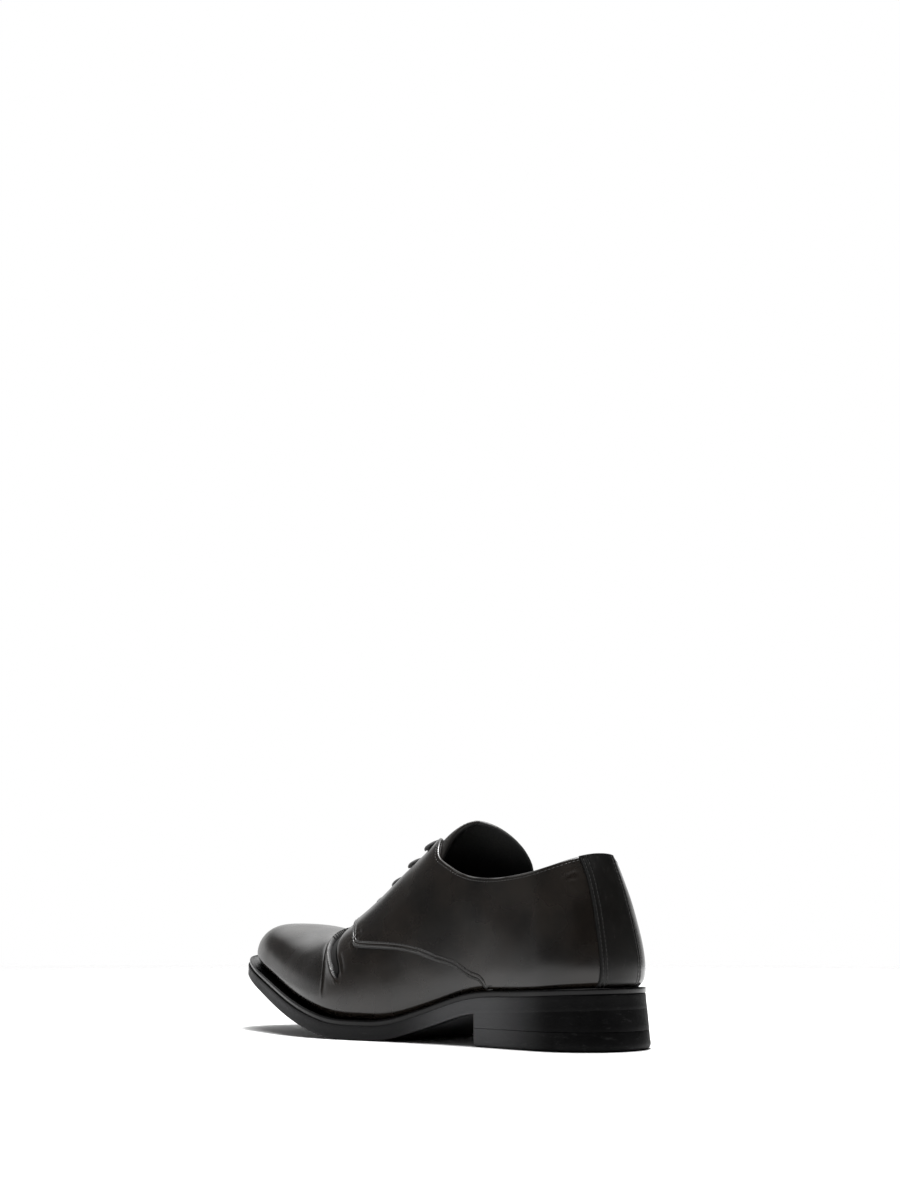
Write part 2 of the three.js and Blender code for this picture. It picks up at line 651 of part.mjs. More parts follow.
// One crossing of the lace: a flat bar that lies over the facings, with its ends down in two eyelets
function laceBar(row) {
  const x = laceRowX(row);
  const reach = throatHalf(x) + EYELET_FROM_EDGE;
  const steps = 8;
  const above = 2 * CLEARANCE + LACE_THICKNESS / 2;
  const places = Array.from({ length: steps + 1 }, (_, i) => {
    const y = axis(x) + reach * ((2 * i) / steps - 1);
    const { point, normal } = onQuarter(x, y);
    return { normal, centre: point.clone().addScaledVector(normal, above) };
  });
  const section = [[1, 0.4], [0.8, 1], [-0.8, 1], [-1, 0.4], [-1, -0.4], [-0.8, -1], [0.8, -1], [1, -0.4]];
  const points = places.flatMap(({ normal, centre }, i) => {
    const along = places[Math.min(i + 1, steps)].centre.clone().sub(places[Math.max(i - 1, 0)].centre);
    const across = along.cross(normal).normalize();
    const atEnd = i === 0 || i === steps;
    const half = (atEnd ? EYELET : LACE_WIDTH) / 2;
    return section.map(([u, v]) =>
      centre
        .clone()
        .addScaledVector(across, u * half)
        .addScaledVector(normal, (v * LACE_THICKNESS) / 2),
    );
  });
  const n = section.length;
  const triangles = [];
  for (let i = 0; i < steps; i += 1) {
    for (let k = 0; k < n; k += 1) {
      const [a, b] = [i * n + k, i * n + ((k + 1) % n)];
      triangles.push([a, b, b + n], [a, b + n, a + n]);
    }
  }
  for (let k = 1; k < n - 1; k += 1) {
    triangles.push([0, k + 1, k], [steps * n, steps * n + k, steps * n + k + 1]);
  }
  let bar = solid(geometryOf(points, facingOut(points, triangles)));
  const depth = (WALL + QUARTER_STEP) / 2;
  for (const side of [1, -1]) bar = bar.add(pin(eyelet(row, side), EYELET / 2 - 2 * CLEARANCE, -depth, above));
  return bar;
}

// Materials, and the parts put together
const leather = { color: 0x2b2825, roughness: 0.36, metalness: 0 };
const lining = { color: 0x191716, roughness: 0.7, metalness: 0 };
const sole = { color: 0x1d1d1f, roughness: 0.5, metalness: 0 };
const edge = { color: 0x121214, roughness: 0.42, metalness: 0 };
const cotton = { color: 0x151515, roughness: 0.85, metalness: 0 };

const shoe = new THREE.Group();
function put(name, shape, look) {
  let geometry = shape;
  if (!shape.isBufferGeometry) {
    const { vertProperties, triVerts } = shape.getMesh();
    geometry = new THREE.BufferGeometry();
    geometry.setAttribute("position", new THREE.BufferAttribute(vertProperties, 3));
    geometry.setIndex(new THREE.BufferAttribute(triVerts, 1));
  }
  const crease = THREE.MathUtils.degToRad(35);
  const mesh = new THREE.Mesh(toCreasedNormals(geometry, crease), new THREE.MeshStandardMaterial(look));
  mesh.name = name;
  shoe.add(mesh);
}

put("outsole", outsole(), sole);
put("welt", welt(), edge);
put("heel_stack", heelStack(), sole);
put("top_lift", topLift(), edge);
put("insole", insole(), lining);
put("upper", upper(), leather);
put("tongue", tongue(), lining);
for (let row = 0; row < LACE_ROWS; row += 1) put(`lace_bar_${row + 1}`, laceBar(row), cotton);

// The origin lies on the floor, under the middle of the shoe
const box = new THREE.Box3().setFromObject(shoe);
const middle = box.getCenter(new THREE.Vector3());
shoe.position.set(-middle.x, -middle.y, -box.min.z);

export default shoe;
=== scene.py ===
"""A plain-toe lace-up dress shoe for the left foot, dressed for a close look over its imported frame.

Every piece is worked out in the shoe's own millimetres: +X to the toe, +Y to the wearer's left, +Z up, with
x = 0 at the back of the sole, y = 0 on the middle of the heel and the floor at z = 0. Placing turns them into
the frame's metres.
"""

import logging
import math
from dataclasses import dataclass, field
from enum import Enum
from typing import Callable, Sequence

import bpy
import numpy as np
from mathutils import Matrix, Vector

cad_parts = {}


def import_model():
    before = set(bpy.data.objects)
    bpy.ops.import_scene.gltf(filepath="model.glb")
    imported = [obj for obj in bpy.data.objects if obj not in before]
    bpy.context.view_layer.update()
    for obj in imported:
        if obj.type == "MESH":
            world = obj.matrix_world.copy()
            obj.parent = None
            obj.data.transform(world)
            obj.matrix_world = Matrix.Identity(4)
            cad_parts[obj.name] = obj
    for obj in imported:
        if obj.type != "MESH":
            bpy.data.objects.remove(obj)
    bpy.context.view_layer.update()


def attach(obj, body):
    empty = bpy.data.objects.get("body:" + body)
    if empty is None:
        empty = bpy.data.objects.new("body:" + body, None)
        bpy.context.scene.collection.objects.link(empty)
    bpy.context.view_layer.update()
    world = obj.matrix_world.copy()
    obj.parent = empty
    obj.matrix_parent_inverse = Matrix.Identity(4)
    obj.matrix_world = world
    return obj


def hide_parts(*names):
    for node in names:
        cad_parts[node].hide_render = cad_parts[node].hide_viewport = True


logging.basicConfig(level=logging.INFO, format="%(message)s")
log = logging.getLogger("shoe")

Array = np.ndarray
Field = Callable[[Array], Array]


class Side(Enum):
    """Sides of the left shoe, as the sign of y."""

    OUTER = 1
    INNER = -1


@dataclass(frozen=True)
class Sizes:
    """Driving sizes of the shoe, in millimetres."""

    length: float = 303.0
    ball_width: float = 88.5
    instep_height: float = 115.0
    seat_height: float = 19.8
    toe_spring: float = 34.6
    collar_height: float = 96.8
    sole_thickness: float = 7.5
    welt_thickness: float = 2.8
    welt_margin: float = 6.5
    welt_setback: float = 0.8
    heel_length: float = 74.0
    heel_flare: float = 3.2
    top_lift: float = 9.4
    insole_thickness: float = 3.0
    wall: float = 1.8
    quarter: float = 1.2
    backstay: float = 0.9
    backstay_width: float = 25.0
    tuck: float = 2.4
    tuck_height: float = 4.5
    throat_top: float = 10.0
    throat_foot: float = 8.0
    throat_end: float = 190.3
    tongue_thickness: float = 2.6
    tongue_width: float = 56.0
    tongue_height: float = 118.0
    clearance: float = 0.3
    heel_round: float = 30.0
    heel_square: float = 2.15
    toe_round: float = 40.0
    toe_square: float = 2.3
    lace_rows: int = 4
    lace_front: float = 175.7
    lace_back: float = 133.9
    eyelet_from_edge: float = 7.5


SIZE = Sizes()
MM = 0.001
ORIGIN = np.array([150.0535, -1.4145, 0.0])  # the frame's origin in the shoe's own millimetres


class Table:
    """A smooth curve for each named column, through short rows given along the shoe."""

    def __init__(self, columns: Sequence[str], rows: Sequence[Sequence[float]]) -> None:
        """Args: columns: names after the first, which is x. rows: x and one value for each column."""
        data = np.array(rows, float)
        self.x = data[:, 0]
        self.values = {name: data[:, i + 1] for i, name in enumerate(columns)}
        self.bends = {name: self._bend(values) for name, values in self.values.items()}

    def _bend(self, y: Array) -> Array:
        """Returns: second derivatives of the natural cubic spline through (x, y)."""
        n = len(self.x)
        h = np.diff(self.x)
        rise = np.diff(y) / h
        system = np.eye(n)
        right = np.zeros(n)
        for i in range(1, n - 1):
            system[i, i - 1 : i + 2] = h[i - 1], 2 * (h[i - 1] + h[i]), h[i]
            right[i] = 6 * (rise[i] - rise[i - 1])
        return np.linalg.solve(system, right)

    def at(self, name: str, x: Array) -> Array:
        """Returns: the column's value at x, held constant beyond the first and last row."""
        x = np.clip(x, self.x[0], self.x[-1])
        i = np.clip(np.searchsorted(self.x, x, side="right") - 1, 0, len(self.x) - 2)
        h = self.x[i + 1] - self.x[i]
        a = (self.x[i + 1] - x) / h
        b = 1 - a
        y = self.values[name]
        m = self.bends[name]
        return a * y[i] + b * y[i + 1] + ((a**3 - a) * m[i] + (b**3 - b) * m[i + 1]) * h * h / 6


# Underside of the sole as shares of the seat height and the toe spring, and the sole's thickness as a share
PROFILE = Table(
    ("seat", "spring", "thick"),
    [
        (0.0, 1.0, 0.0, 1.0),
        (0.066, 0.96, 0.0, 1.0),
        (0.148, 0.9, 0.0, 1.0),
        (0.244, 0.83, 0.0, 1.0),
        (0.28, 0.74, 0.0, 1.0),
        (0.33, 0.535, 0.0, 1.0),
        (0.396, 0.24, 0.0, 1.0),
        (0.445, 0.05, 0.0, 1.0),
        (0.48, 0.0, 0.0, 1.0),
        (0.532, 0.0, 0.0, 1.0),
        (0.568, 0.0, 0.02, 1.0),
        (0.61, 0.0, 0.085, 1.0),
        (0.66, 0.0, 0.19, 1.0),
        (0.71, 0.0, 0.31, 1.0),
        (0.76, 0.0, 0.435, 1.0),
        (0.81, 0.0, 0.565, 0.96),
        (0.86, 0.0, 0.7, 0.91),
        (0.91, 0.0, 0.835, 0.87),
        (0.957, 0.0, 0.935, 0.85),
        (1.0, 0.0, 1.0, 0.83),
    ],
)

# Plan of the feather line, as shares of the ball width, and the sole's margin beyond it
PLAN = Table(
    ("axis", "outer", "inner", "margin"),
    [
        (0.008, 0.0, 0.322, 0.334, 0.45),
        (0.115, 0.0, 0.35, 0.358, 0.42),
        (0.248, 0.0, 0.356, 0.328, 0.45),
        (0.38, 0.006, 0.384, 0.294, 0.4),
        (0.495, 0.011, 0.458, 0.35, 0.72),
        (0.594, 0.006, 0.508, 0.435, 0.84),
        (0.677, -0.011, 0.497, 0.491, 0.9),
        (0.76, -0.04, 0.452, 0.497, 0.94),
        (0.852, -0.073, 0.384, 0.452, 0.98),
        (0.924, -0.096, 0.345, 0.395, 1.0),
        (0.98, -0.107, 0.333, 0.362, 1.0),
    ],
)

# Sections of the upper: place and height of the ridge, curve exponents, fullness low down and at half height
SECTIONS = Table(
    ("spine", "ridge", "foot", "crown", "swell", "outer", "inner"),
    [
        (0.008, 0.188, 1.217, 2.0, 1.45, 0.05, 0.0, 0.0),
        (0.11, 0.218, 1.2, 2.0, 1.5, 0.045, 0.0, 0.01),
        (0.198, 0.264, 1.14, 2.0, 1.7, 0.04, 0.01, 0.03),
        (0.297, 0.33, 1.05, 2.0, 1.85, 0.03, 0.04, 0.1),
        (0.389, 0.396, 0.992, 2.1, 1.95, 0.03, 0.07, 0.16),
        (0.445, 0.445, 0.9, 2.05, 1.85, 0.03, 0.09, 0.16),
        (0.495, 0.495, 0.806, 2.05, 1.85, 0.03, 0.09, 0.13),
        (0.545, 0.545, 0.706, 2.05, 1.85, 0.03, 0.09, 0.09),
        (0.594, 0.594, 0.612, 2.1, 1.95, 0.03, 0.08, 0.07),
        (0.647, 0.647, 0.534, 2.2, 2.2, 0.03, 0.07, 0.06),
        (0.7, 0.7, 0.502, 2.3, 2.3, 0.03, 0.06, 0.05),
        (0.76, 0.76, 0.507, 2.35, 2.4, 0.03, 0.05, 0.05),
        (0.825, 0.825, 0.533, 2.4, 2.6, 0.03, 0.05, 0.05),
        (0.865, 0.865, 0.541, 2.4, 2.7, 0.03, 0.05, 0.05),
        (0.98, 0.914, 0.541, 2.4, 2.9, 0.03, 0.05, 0.05),
    ],
)
SWELL_AT = 0.13

# Side-view lines: the collar's topline and the quarters' seam, as shares of their heights
TOPLINE = Table(
    ("height",),
    [
        (-0.2, 1.0),
        (0.05, 0.998),
        (0.09, 0.94),
        (0.125, 0.907),
        (0.173, 0.884),
        (0.22, 0.875),
        (0.268, 0.884),
        (0.32, 0.925),
        (0.353, 0.97),
        (0.38, 1.03),
        (0.396, 1.098),
        (0.413, 1.12),
        (0.432, 1.13),
    ],
)
SEAM = Table(
    ("height",),
    [
        (0.2, 0.08),
        (0.222, 0.24),
        (0.25, 0.29),
        (0.294, 0.338),
        (0.34, 0.366),
        (0.383, 0.396),
        (0.447, 0.416),
        (0.534, 0.419),
        (0.66, 0.425),
    ],
)
# Front edge of the quarters in plan: x and the distance from the middle, in millimetres
FRONT_EDGE = ((124.2, 79.7), (161.8, 42.0), (186.0, 19.0), (193.9, 8.9), (196.0, 0.0))
# Back edge of the tongue in side view, and half its width in plan, in millimetres
TONGUE_BACK = ((121.0, 153.4), (107.5, 121.5), (101.9, 118.7), (96.3, 115.0), (88.7, 107.8), (84.1, 99.8),
               (81.6, 91.3), (83.8, 77.9), (109.1, 59.0))
TONGUE_OUTER_BACK = ((-14.0, 75.0), (-4.0, 95.0), (0.0, 101.2), (3.9, 106.0), (8.0, 110.2), (12.3, 113.6),
                     (16.8, 115.0), (22.4, 115.0), (28.0, 114.0))
TONGUE_HALF = ((75.8, 11.2), (79.4, 17.9), (84.2, 23.5), (92.4, 26.9), (106.1, 28.0), (151.5, 25.8), (184.8, 20.2),
               (195.4, 13.4), (198.5, 6.0))


def smooth(value: Array, low: float, high: float) -> Array:
    """Returns: 0 below low, 1 above high, and a soft step between them."""
    t = np.clip((value - low) / (high - low), 0, 1)
    return t * t * (3 - 2 * t)


def soft_min(a: Array, b: Array, width: float) -> Array:
    """Returns: the lesser of a and b, with the corner rounded over about width."""
    return 0.5 * (a + b - np.sqrt((a - b) ** 2 + width * width)) + 0.0


def unit(v: Array) -> Array:
    """Returns: v with its last axis brought to length 1."""
    return v / np.maximum(np.linalg.norm(v, axis=-1, keepdims=True), 1e-12)


def through(points: Sequence[Sequence[float]], count: int) -> Array:
    """Returns: count points on a centripetal curve through the given ones."""
    p = np.array(points, float)
    p = np.vstack([2 * p[0] - p[1], p, 2 * p[-1] - p[-2]])
    out = []
    spans = len(p) - 3
    for i in range(spans):
        a, b, c, d = p[i : i + 4]
        t = np.linspace(0, 1, count // spans + 2)[: None if i == spans - 1 else -1, None]
        out.append(0.5 * (2 * b + (c - a) * t + (2 * a - 5 * b + 4 * c - d) * t**2 + (3 * b - a - 3 * c + d) * t**3))
    return np.vstack(out)


class Last:
    """The form that the shoe is built on.

    A place on it is (t, phi, side): t runs from the back of the heel (0) to the toe (1) along the feather line,
    phi from the feather line (0) over the ridge (half pi) and down the other side (pi). Below t = 0 and above
    t = 1 the surface goes on round to the other side.
    """

    def __init__(self, size: Sizes) -> None:
        """Args: size: the shoe's sizes."""
        self.size = size
        back = size.welt_margin * float(PLAN.at("margin", 0.0))
        front = size.length - size.welt_margin
        a = np.linspace(0, math.pi / 2, 600)
        heel = back + size.heel_round * (1 - np.cos(a) ** (2 / size.heel_square))
        toe = front - size.toe_round + size.toe_round * np.sin(a) ** (2 / size.toe_square)
        middle = np.linspace(back + size.heel_round, front - size.toe_round, 1200)[1:-1]
        self.x = np.concatenate([heel, middle, toe])
        toe_end = np.maximum(np.cos(a), 0) ** (2 / size.toe_square)
        self.end = np.concatenate([np.sin(a) ** (2 / size.heel_square), np.ones_like(middle), toe_end])
        width = (self.half(self.x, 1) + self.half(self.x, -1)) / 2 * self.end
        run = np.concatenate([[0], np.cumsum(np.hypot(np.diff(self.x), np.diff(width)))])
        self.run = float(run[-1])
        self.t = run / run[-1]

    def half(self, x: Array, side: Array) -> Array:
        """Returns: half width of the feather line on a side."""
        share = x / self.size.length
        outer = PLAN.at("outer", share)
        inner = PLAN.at("inner", share)
        return self.size.ball_width * np.where(np.asarray(side) > 0, outer, inner)

    def axis(self, x: Array) -> Array:
        """Returns: y of the feather line's middle."""
        return self.size.ball_width * PLAN.at("axis", x / self.size.length)

    def sole_foot(self, x: Array) -> Array:
        """Returns: height of the sole's underside."""
        share = x / self.size.length
        low = self.size.seat_height * PROFILE.at("seat", share) + self.size.toe_spring * PROFILE.at("spring", share)
        return np.maximum(low, 0)

    def sole_top(self, x: Array) -> Array:
        """Returns: height of the sole's upper face."""
        return self.sole_foot(x) + self.size.sole_thickness * PROFILE.at("thick", x / self.size.length)

    def welt_top(self, x: Array) -> Array:
        """Returns: height of the welt's upper face."""
        return self.sole_top(x) + self.size.clearance + self.size.welt_thickness

    def feather(self, x: Array) -> Array:
        """Returns: height at which the upper meets the welt."""
        return self.welt_top(x) + self.size.clearance

    def t_at(self, x: float) -> float:
        """Returns: t of the station at x."""
        return float(np.interp(x, self.x, self.t))

    def point(self, t: Array, phi: Array, side: int) -> Array:
        """Returns: the surface's points, in millimetres."""
        size = self.size
        t, phi = np.broadcast_arrays(np.asarray(t, float), np.asarray(phi, float))
        s = np.full(t.shape, float(side))
        over = phi > math.pi / 2
        phi = np.where(over, math.pi - phi, phi)
        s = np.where(over ^ (t < 0) ^ (t > 1), -s, s)
        t = np.abs(t)
        t = np.where(t > 1, 2 - t, t)
        x = np.interp(t, self.t, self.x)
        end = np.interp(t, self.t, self.end)
        share_x = x / size.length
        spine = size.length * SECTIONS.at("spine", share_x)
        top = np.stack([spine, self.axis(spine), size.instep_height * SECTIONS.at("ridge", share_x)], -1)
        foot = np.stack([x, self.axis(x) + s * self.half(x, s) * end], -1)
        reach = np.linalg.norm(foot - top[..., :2], axis=-1)
        low = self.feather(x)
        rise = top[..., 2] - low
        share = np.sin(np.maximum(phi, 0)) ** (2 / SECTIONS.at("foot", share_x))
        base = np.maximum(np.cos(phi), 0) ** (2 / SECTIONS.at("crown", share_x))
        belly = np.where(s > 0, SECTIONS.at("outer", share_x), SECTIONS.at("inner", share_x)) * (1 - (1 - end) ** 2)
        u = share / SWELL_AT
        full = 1 + belly * np.sin(math.pi * share) + SECTIONS.at("swell", share_x) * u * np.exp(1 - u)
        drawn = size.tuck / reach * np.maximum(0, 1 - share * rise / size.tuck_height) ** 2
        out = (base * full - drawn)[..., None]
        plan = top[..., :2] * (1 - out) + foot * out
        return np.concatenate([plan, (low + share * rise)[..., None]], -1)

    def normal(self, t: Array, phi: Array, side: int) -> Array:
        """Returns: outward unit normals."""
        dt = 0.7 / self.run
        dp = 0.006
        along = self.point(t + dt, phi, side) - self.point(t - dt, phi, side)
        up = self.point(t, phi + dp, side) - self.point(t, np.maximum(phi - dp, 0), side)
        return unit(np.cross(up, along)) * side

    def outline(self, t: Array, grow: Array) -> Array:
        """Returns: plan points of the feather line moved out by grow; t below 0 is the inner side."""
        def place(u: Array) -> Array:
            s = np.where(((u < 0) ^ (np.abs(u) > 1)), -1.0, 1.0)
            u = np.abs(u)
            u = np.where(u > 1, 2 - u, u)
            x = np.interp(u, self.t, self.x)
            end = np.interp(u, self.t, self.end)
            return np.stack([x, self.axis(x) + s * self.half(x, s) * end], -1)

        dt = 0.8 / self.run
        along = unit(place(t + dt) - place(t - dt))
        out = np.stack([-along[:, 1], along[:, 0]], -1)
        return place(t) + out * grow[:, None]

    def margin(self, x: Array) -> Array:
        """Returns: how far the sole stands out of the feather line."""
        return self.size.welt_margin * PLAN.at("margin", x / self.size.length)


LAST = Last(SIZE)


@dataclass(frozen=True)
class Fold:
    """A crease in the leather: a lip that rolls over a trough on its heel side.

    Attributes:
        path: points near the surface that the crest of the lip follows.
        lip: height of the lip.
        toe_width: how far the lip's slope runs towards the toe.
        depth: depth of the trough.
        width: distance from the lip's crest to the trough's bottom, at the start of the path and at its end.
        fade: share of the path over which each end dies away.
    """

    path: tuple
    lip: float
    toe_width: float
    depth: float
    width: tuple
    fade: float = 0.2

    def relief(self, points: Array) -> tuple[Array, Array]:
        """Returns: height of the lip and depth of the trough at each point."""
        line = through(self.path, 80)
        reach = 7 * max(self.width)
        flat = points.reshape(-1, 3)
        rise = np.zeros(len(flat))
        hollow = np.zeros(len(flat))
        near = ((flat > line.min(0) - reach) & (flat < line.max(0) + reach)).all(1)
        if not near.any():
            return rise.reshape(points.shape[:-1]), hollow.reshape(points.shape[:-1])
        p = flat[near]
        start = line[:-1]
        step = line[1:] - start
        share = np.einsum("ijk,jk->ij", p[:, None] - start[None], step) / (step**2).sum(1)
        share = np.clip(share, 0, 1)
        foot = start[None] + share[..., None] * step[None]
        gap = np.linalg.norm(p[:, None] - foot, axis=-1)
        k = gap.argmin(1)
        row = np.arange(len(p))
        toeward = (p - foot[row, k])[:, 0] > 0
        distance = gap[row, k]
        along = (k + share[row, k]) / len(start)
        ends = smooth(along, 0, self.fade) * smooth(1 - along, 0, self.fade)
        width = self.width[0] + (self.width[1] - self.width[0]) * along
        slope = np.where(toeward, self.toe_width, 0.45 * width)
        lip = self.lip * np.exp(-((distance / slope) ** 2))
        u = distance / width
        trough = np.where(toeward, 0.0, self.depth * u**1.5 * np.exp(1.5 * (1 - u)))
        rise[near] = lip * ends
        hollow[near] = trough * ends
        return rise.reshape(points.shape[:-1]), hollow.reshape(points.shape[:-1])


@dataclass(frozen=True)
class Crumple:
    """A small patch where the leather is crushed.

    Attributes:
        middle: its middle.
        radius: how far it reaches.
        height: height of its wrinkles.
        size: distance between them.
    """

    middle: tuple
    radius: float
    height: float
    size: float

    def lift(self, points: Array) -> Array:
        """Returns: outward movement at each point."""
        offset = points - np.array(self.middle)
        near = np.exp(-((offset**2).sum(-1) / self.radius**2))
        x, y, z = (offset[..., k] / self.size for k in range(3))
        bend = np.sin(4.1 * x + 2.0 * np.sin(3.3 * z + 1.0)) + np.sin(5.3 * z - 2.9 * y + 1.7 * np.sin(4.7 * x))
        return self.height * near * 0.5 * bend


@dataclass(frozen=True)
class Leather:
    """Folds, crushed patches and slow waves of the upper's surface."""

    folds: tuple
    crumples: tuple

    def lift(self, points: Array) -> Array:
        """Returns: outward movement at each point, in millimetres."""
        x, y, z = points[..., 0], points[..., 1], points[..., 2]
        wave = 0.14 * np.sin(x / 9.1 + 0.7 * np.sin(z / 7.3)) * np.sin(z / 11.7 + y / 23 + 1.1)
        wave = wave + 0.07 * np.sin(x / 4.3 + z / 6.1) * np.sin(y / 6.7 - z / 9.1 + 0.4)
        out = wave * smooth(z, 30, 40) * (1 - smooth(x, 205, 235))
        for fold in self.folds:
            rise, hollow = fold.relief(points)
            out = out + rise - hollow
        for part in self.crumples:
            out = out + part.lift(points)
        return out

    def shade(self, points: Array) -> Array:
        """Returns: painted shade for the main crease: 1 deep in its trough and 0 on open leather."""
        return smooth(self.folds[0].relief(points)[1], 0.2, 1.3)


SKIN = Leather(
    folds=(
        Fold(((168, 47.6, 29.5), (173.1, 47, 34.5), (177.9, 45.4, 39.8), (183.5, 42.1, 45.1), (188.6, 37.3, 50),
              (193.5, 30.1, 54.6), (197.5, 20, 59), (199.5, 8, 61.5), (199.5, -4, 62), (198, -16, 60.5),
              (194, -27, 56), (187, -36, 50), (181, -40, 43), (177, -42, 36)),
             lip=1.5, toe_width=3.2, depth=3.0, width=(1.5, 3.0), fade=0.13),
        Fold(((181.4, 48.7, 20), (181.2, 48.3, 28.4), (182.9, 46.3, 36.5), (186.3, 42.3, 44), (189.7, 37.7, 49.8),
              (194.5, 30.1, 55)), lip=0.5, toe_width=1.0, depth=0.35, width=(1.2, 1.2)),
        Fold(((205, -10, 61), (203, -22, 58), (198, -33, 52), (193, -40, 45), (190, -43, 37)), lip=0.4,
             toe_width=1.6, depth=0.4, width=(1.4, 1.4)),
        Fold(((166, 46.5, 34), (170, 44.5, 41), (176, 41.5, 46)), lip=0.25, toe_width=1.3, depth=0.35,
             width=(1.1, 1.1)),
    ),
    crumples=(
        Crumple((170.5, 47.4, 32), 3.0, 0.3, 1.7),
        Crumple((163, 39.8, 54), 5.5, 0.4, 4.6),
        Crumple((20, 19.5, 84.5), 4.0, 0.22, 4.4),
        Crumple((128, 38, 76), 14, 0.1, 11.0),
    ),
)


def place(points: Array) -> Array:
    """Returns: the shoe's millimetres as the frame's metres."""
    return (points - ORIGIN) * MM


def quads(rows: int, columns: int, wrap: bool = False) -> Array:
    """Returns: faces of a grid of rows by columns vertices; wrap joins the last row to the first."""
    i = np.arange(rows if wrap else rows - 1)
    j = np.arange(columns - 1)
    a, b = np.meshgrid(i, j, indexing="ij")
    c = (a + 1) % rows
    return np.stack([a * columns + b, c * columns + b, c * columns + b + 1, a * columns + b + 1], -1).reshape(-1, 4)


class Piece:
    """A mesh under way: grids of vertices that are put together, welded and given one material."""

    def __init__(self, name: str) -> None:
        """Args: name: the object's name."""
        self.name = name
        self.points: list[Array] = []
        self.faces: list[Array] = []
        self.uv: list[Array] = []
        self.finish: list[Array] = []
        self.shade: list[Array] = []
        self.count = 0

    def grid(self, points: Array, uv: Array | None = None, wrap: bool = False, flip: bool = False,
             finish: int | Array = 0, shade: Array | None = None) -> "Piece":
        """Adds a grid.

        Args:
            points: rows by columns by 3, in millimetres.
            uv: rows by columns by 2, in millimetres.
            wrap: whether the last row joins the first.
            flip: whether the faces are turned over.
            finish: which of the piece's materials it has, as one number or one for each face.
            shade: painted shade for each point, by how deep in a crease it lies, from 0 to 1.
        """
        rows, columns = points.shape[:2]
        faces = quads(rows, columns, wrap)
        if flip:
            faces = faces[:, ::-1]
        self.finish.append(np.broadcast_to(finish, len(faces)))
        self.faces.append(faces + self.count)
        self.points.append(points.reshape(-1, 3))
        self.uv.append((np.zeros((rows, columns, 2)) if uv is None else uv).reshape(-1, 2))
        self.shade.append((np.zeros((rows, columns)) if shade is None else shade).ravel())
        self.count += rows * columns
        return self

    def fan(self, ring: Array, flip: bool = False) -> "Piece":
        """Adds a flat cap over a closed ring of points."""
        n = len(ring)
        middle = ring.mean(0)
        self.points.append(np.vstack([ring, middle]))
        self.uv.append(np.zeros((n + 1, 2)))
        self.shade.append(np.zeros(n + 1))
        i = np.arange(n)
        j = (i + 1) % n
        hub = np.full(n, n)
        tri = np.stack([i, j, hub, hub], -1)
        if flip:
            tri = np.stack([j, i, hub, hub], -1)
        self.faces.append(tri + self.count)
        self.finish.append(np.zeros(len(tri)))
        self.count += n + 1
        return self

    def build(self, material: bpy.types.Material, slot: str, replaces: Sequence[str] = (), weld: float = 1e-6,
              others: Sequence[bpy.types.Material] = ()) -> bpy.types.Object:
        """Makes the object and hangs it on the frame.

        Args:
            material: its material.
            slot: the record's material slot; not used.
            replaces: CAD nodes that it stands for.
            weld: distance below which vertices are joined, in metres.
            others: further materials, for grids with a finish above 0.
        Returns:
            The object.
        """
        verts = place(np.vstack(self.points))
        faces = np.vstack(self.faces)
        uv = np.vstack(self.uv)
        mesh = bpy.data.meshes.new(self.name)
        lists = [tuple(dict.fromkeys(f)) for f in faces.tolist()]
        kept = [i for i, f in enumerate(lists) if len(f) > 2]
        mesh.from_pydata(verts.tolist(), [], [lists[i] for i in kept])
        finish = np.concatenate(self.finish)[kept].astype(np.int32)
        layer = mesh.uv_layers.new(name="UVMap")
        corner = np.zeros(len(mesh.loops), np.int32)
        mesh.loops.foreach_get("vertex_index", corner)
        layer.data.foreach_set("uv", uv[corner].ravel().astype(np.float32))
        # The crease attribute carries painted shade: the leather turns darker where it is high.
        depth = mesh.attributes.new("crease", "FLOAT", "POINT")
        depth.data.foreach_set("value", np.concatenate(self.shade).astype(np.float32))
        for each in (material, *others):
            mesh.materials.append(each)
        mesh.polygons.foreach_set("material_index", finish)
        tidy(mesh, weld)
        obj = bpy.data.objects.new(self.name, mesh)
        bpy.context.scene.collection.objects.link(obj)
        if replaces:
            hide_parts(*replaces)
        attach(obj, "root")
        count = sum(len(face.vertices) - 2 for face in mesh.polygons)
        log.info("%s: %d vertices, %d triangles", self.name, len(mesh.vertices), count)
        return obj


def tidy(mesh: bpy.types.Mesh, weld: float) -> None:
    """Welds the mesh, drops what has no area and shades it smooth."""
    import bmesh

    bm = bmesh.new()
    bm.from_mesh(mesh)
    bmesh.ops.remove_doubles(bm, verts=bm.verts, dist=weld)
    bmesh.ops.dissolve_degenerate(bm, edges=bm.edges, dist=1e-8)
    bm.to_mesh(mesh)
    bm.free()
    mesh.shade_smooth()


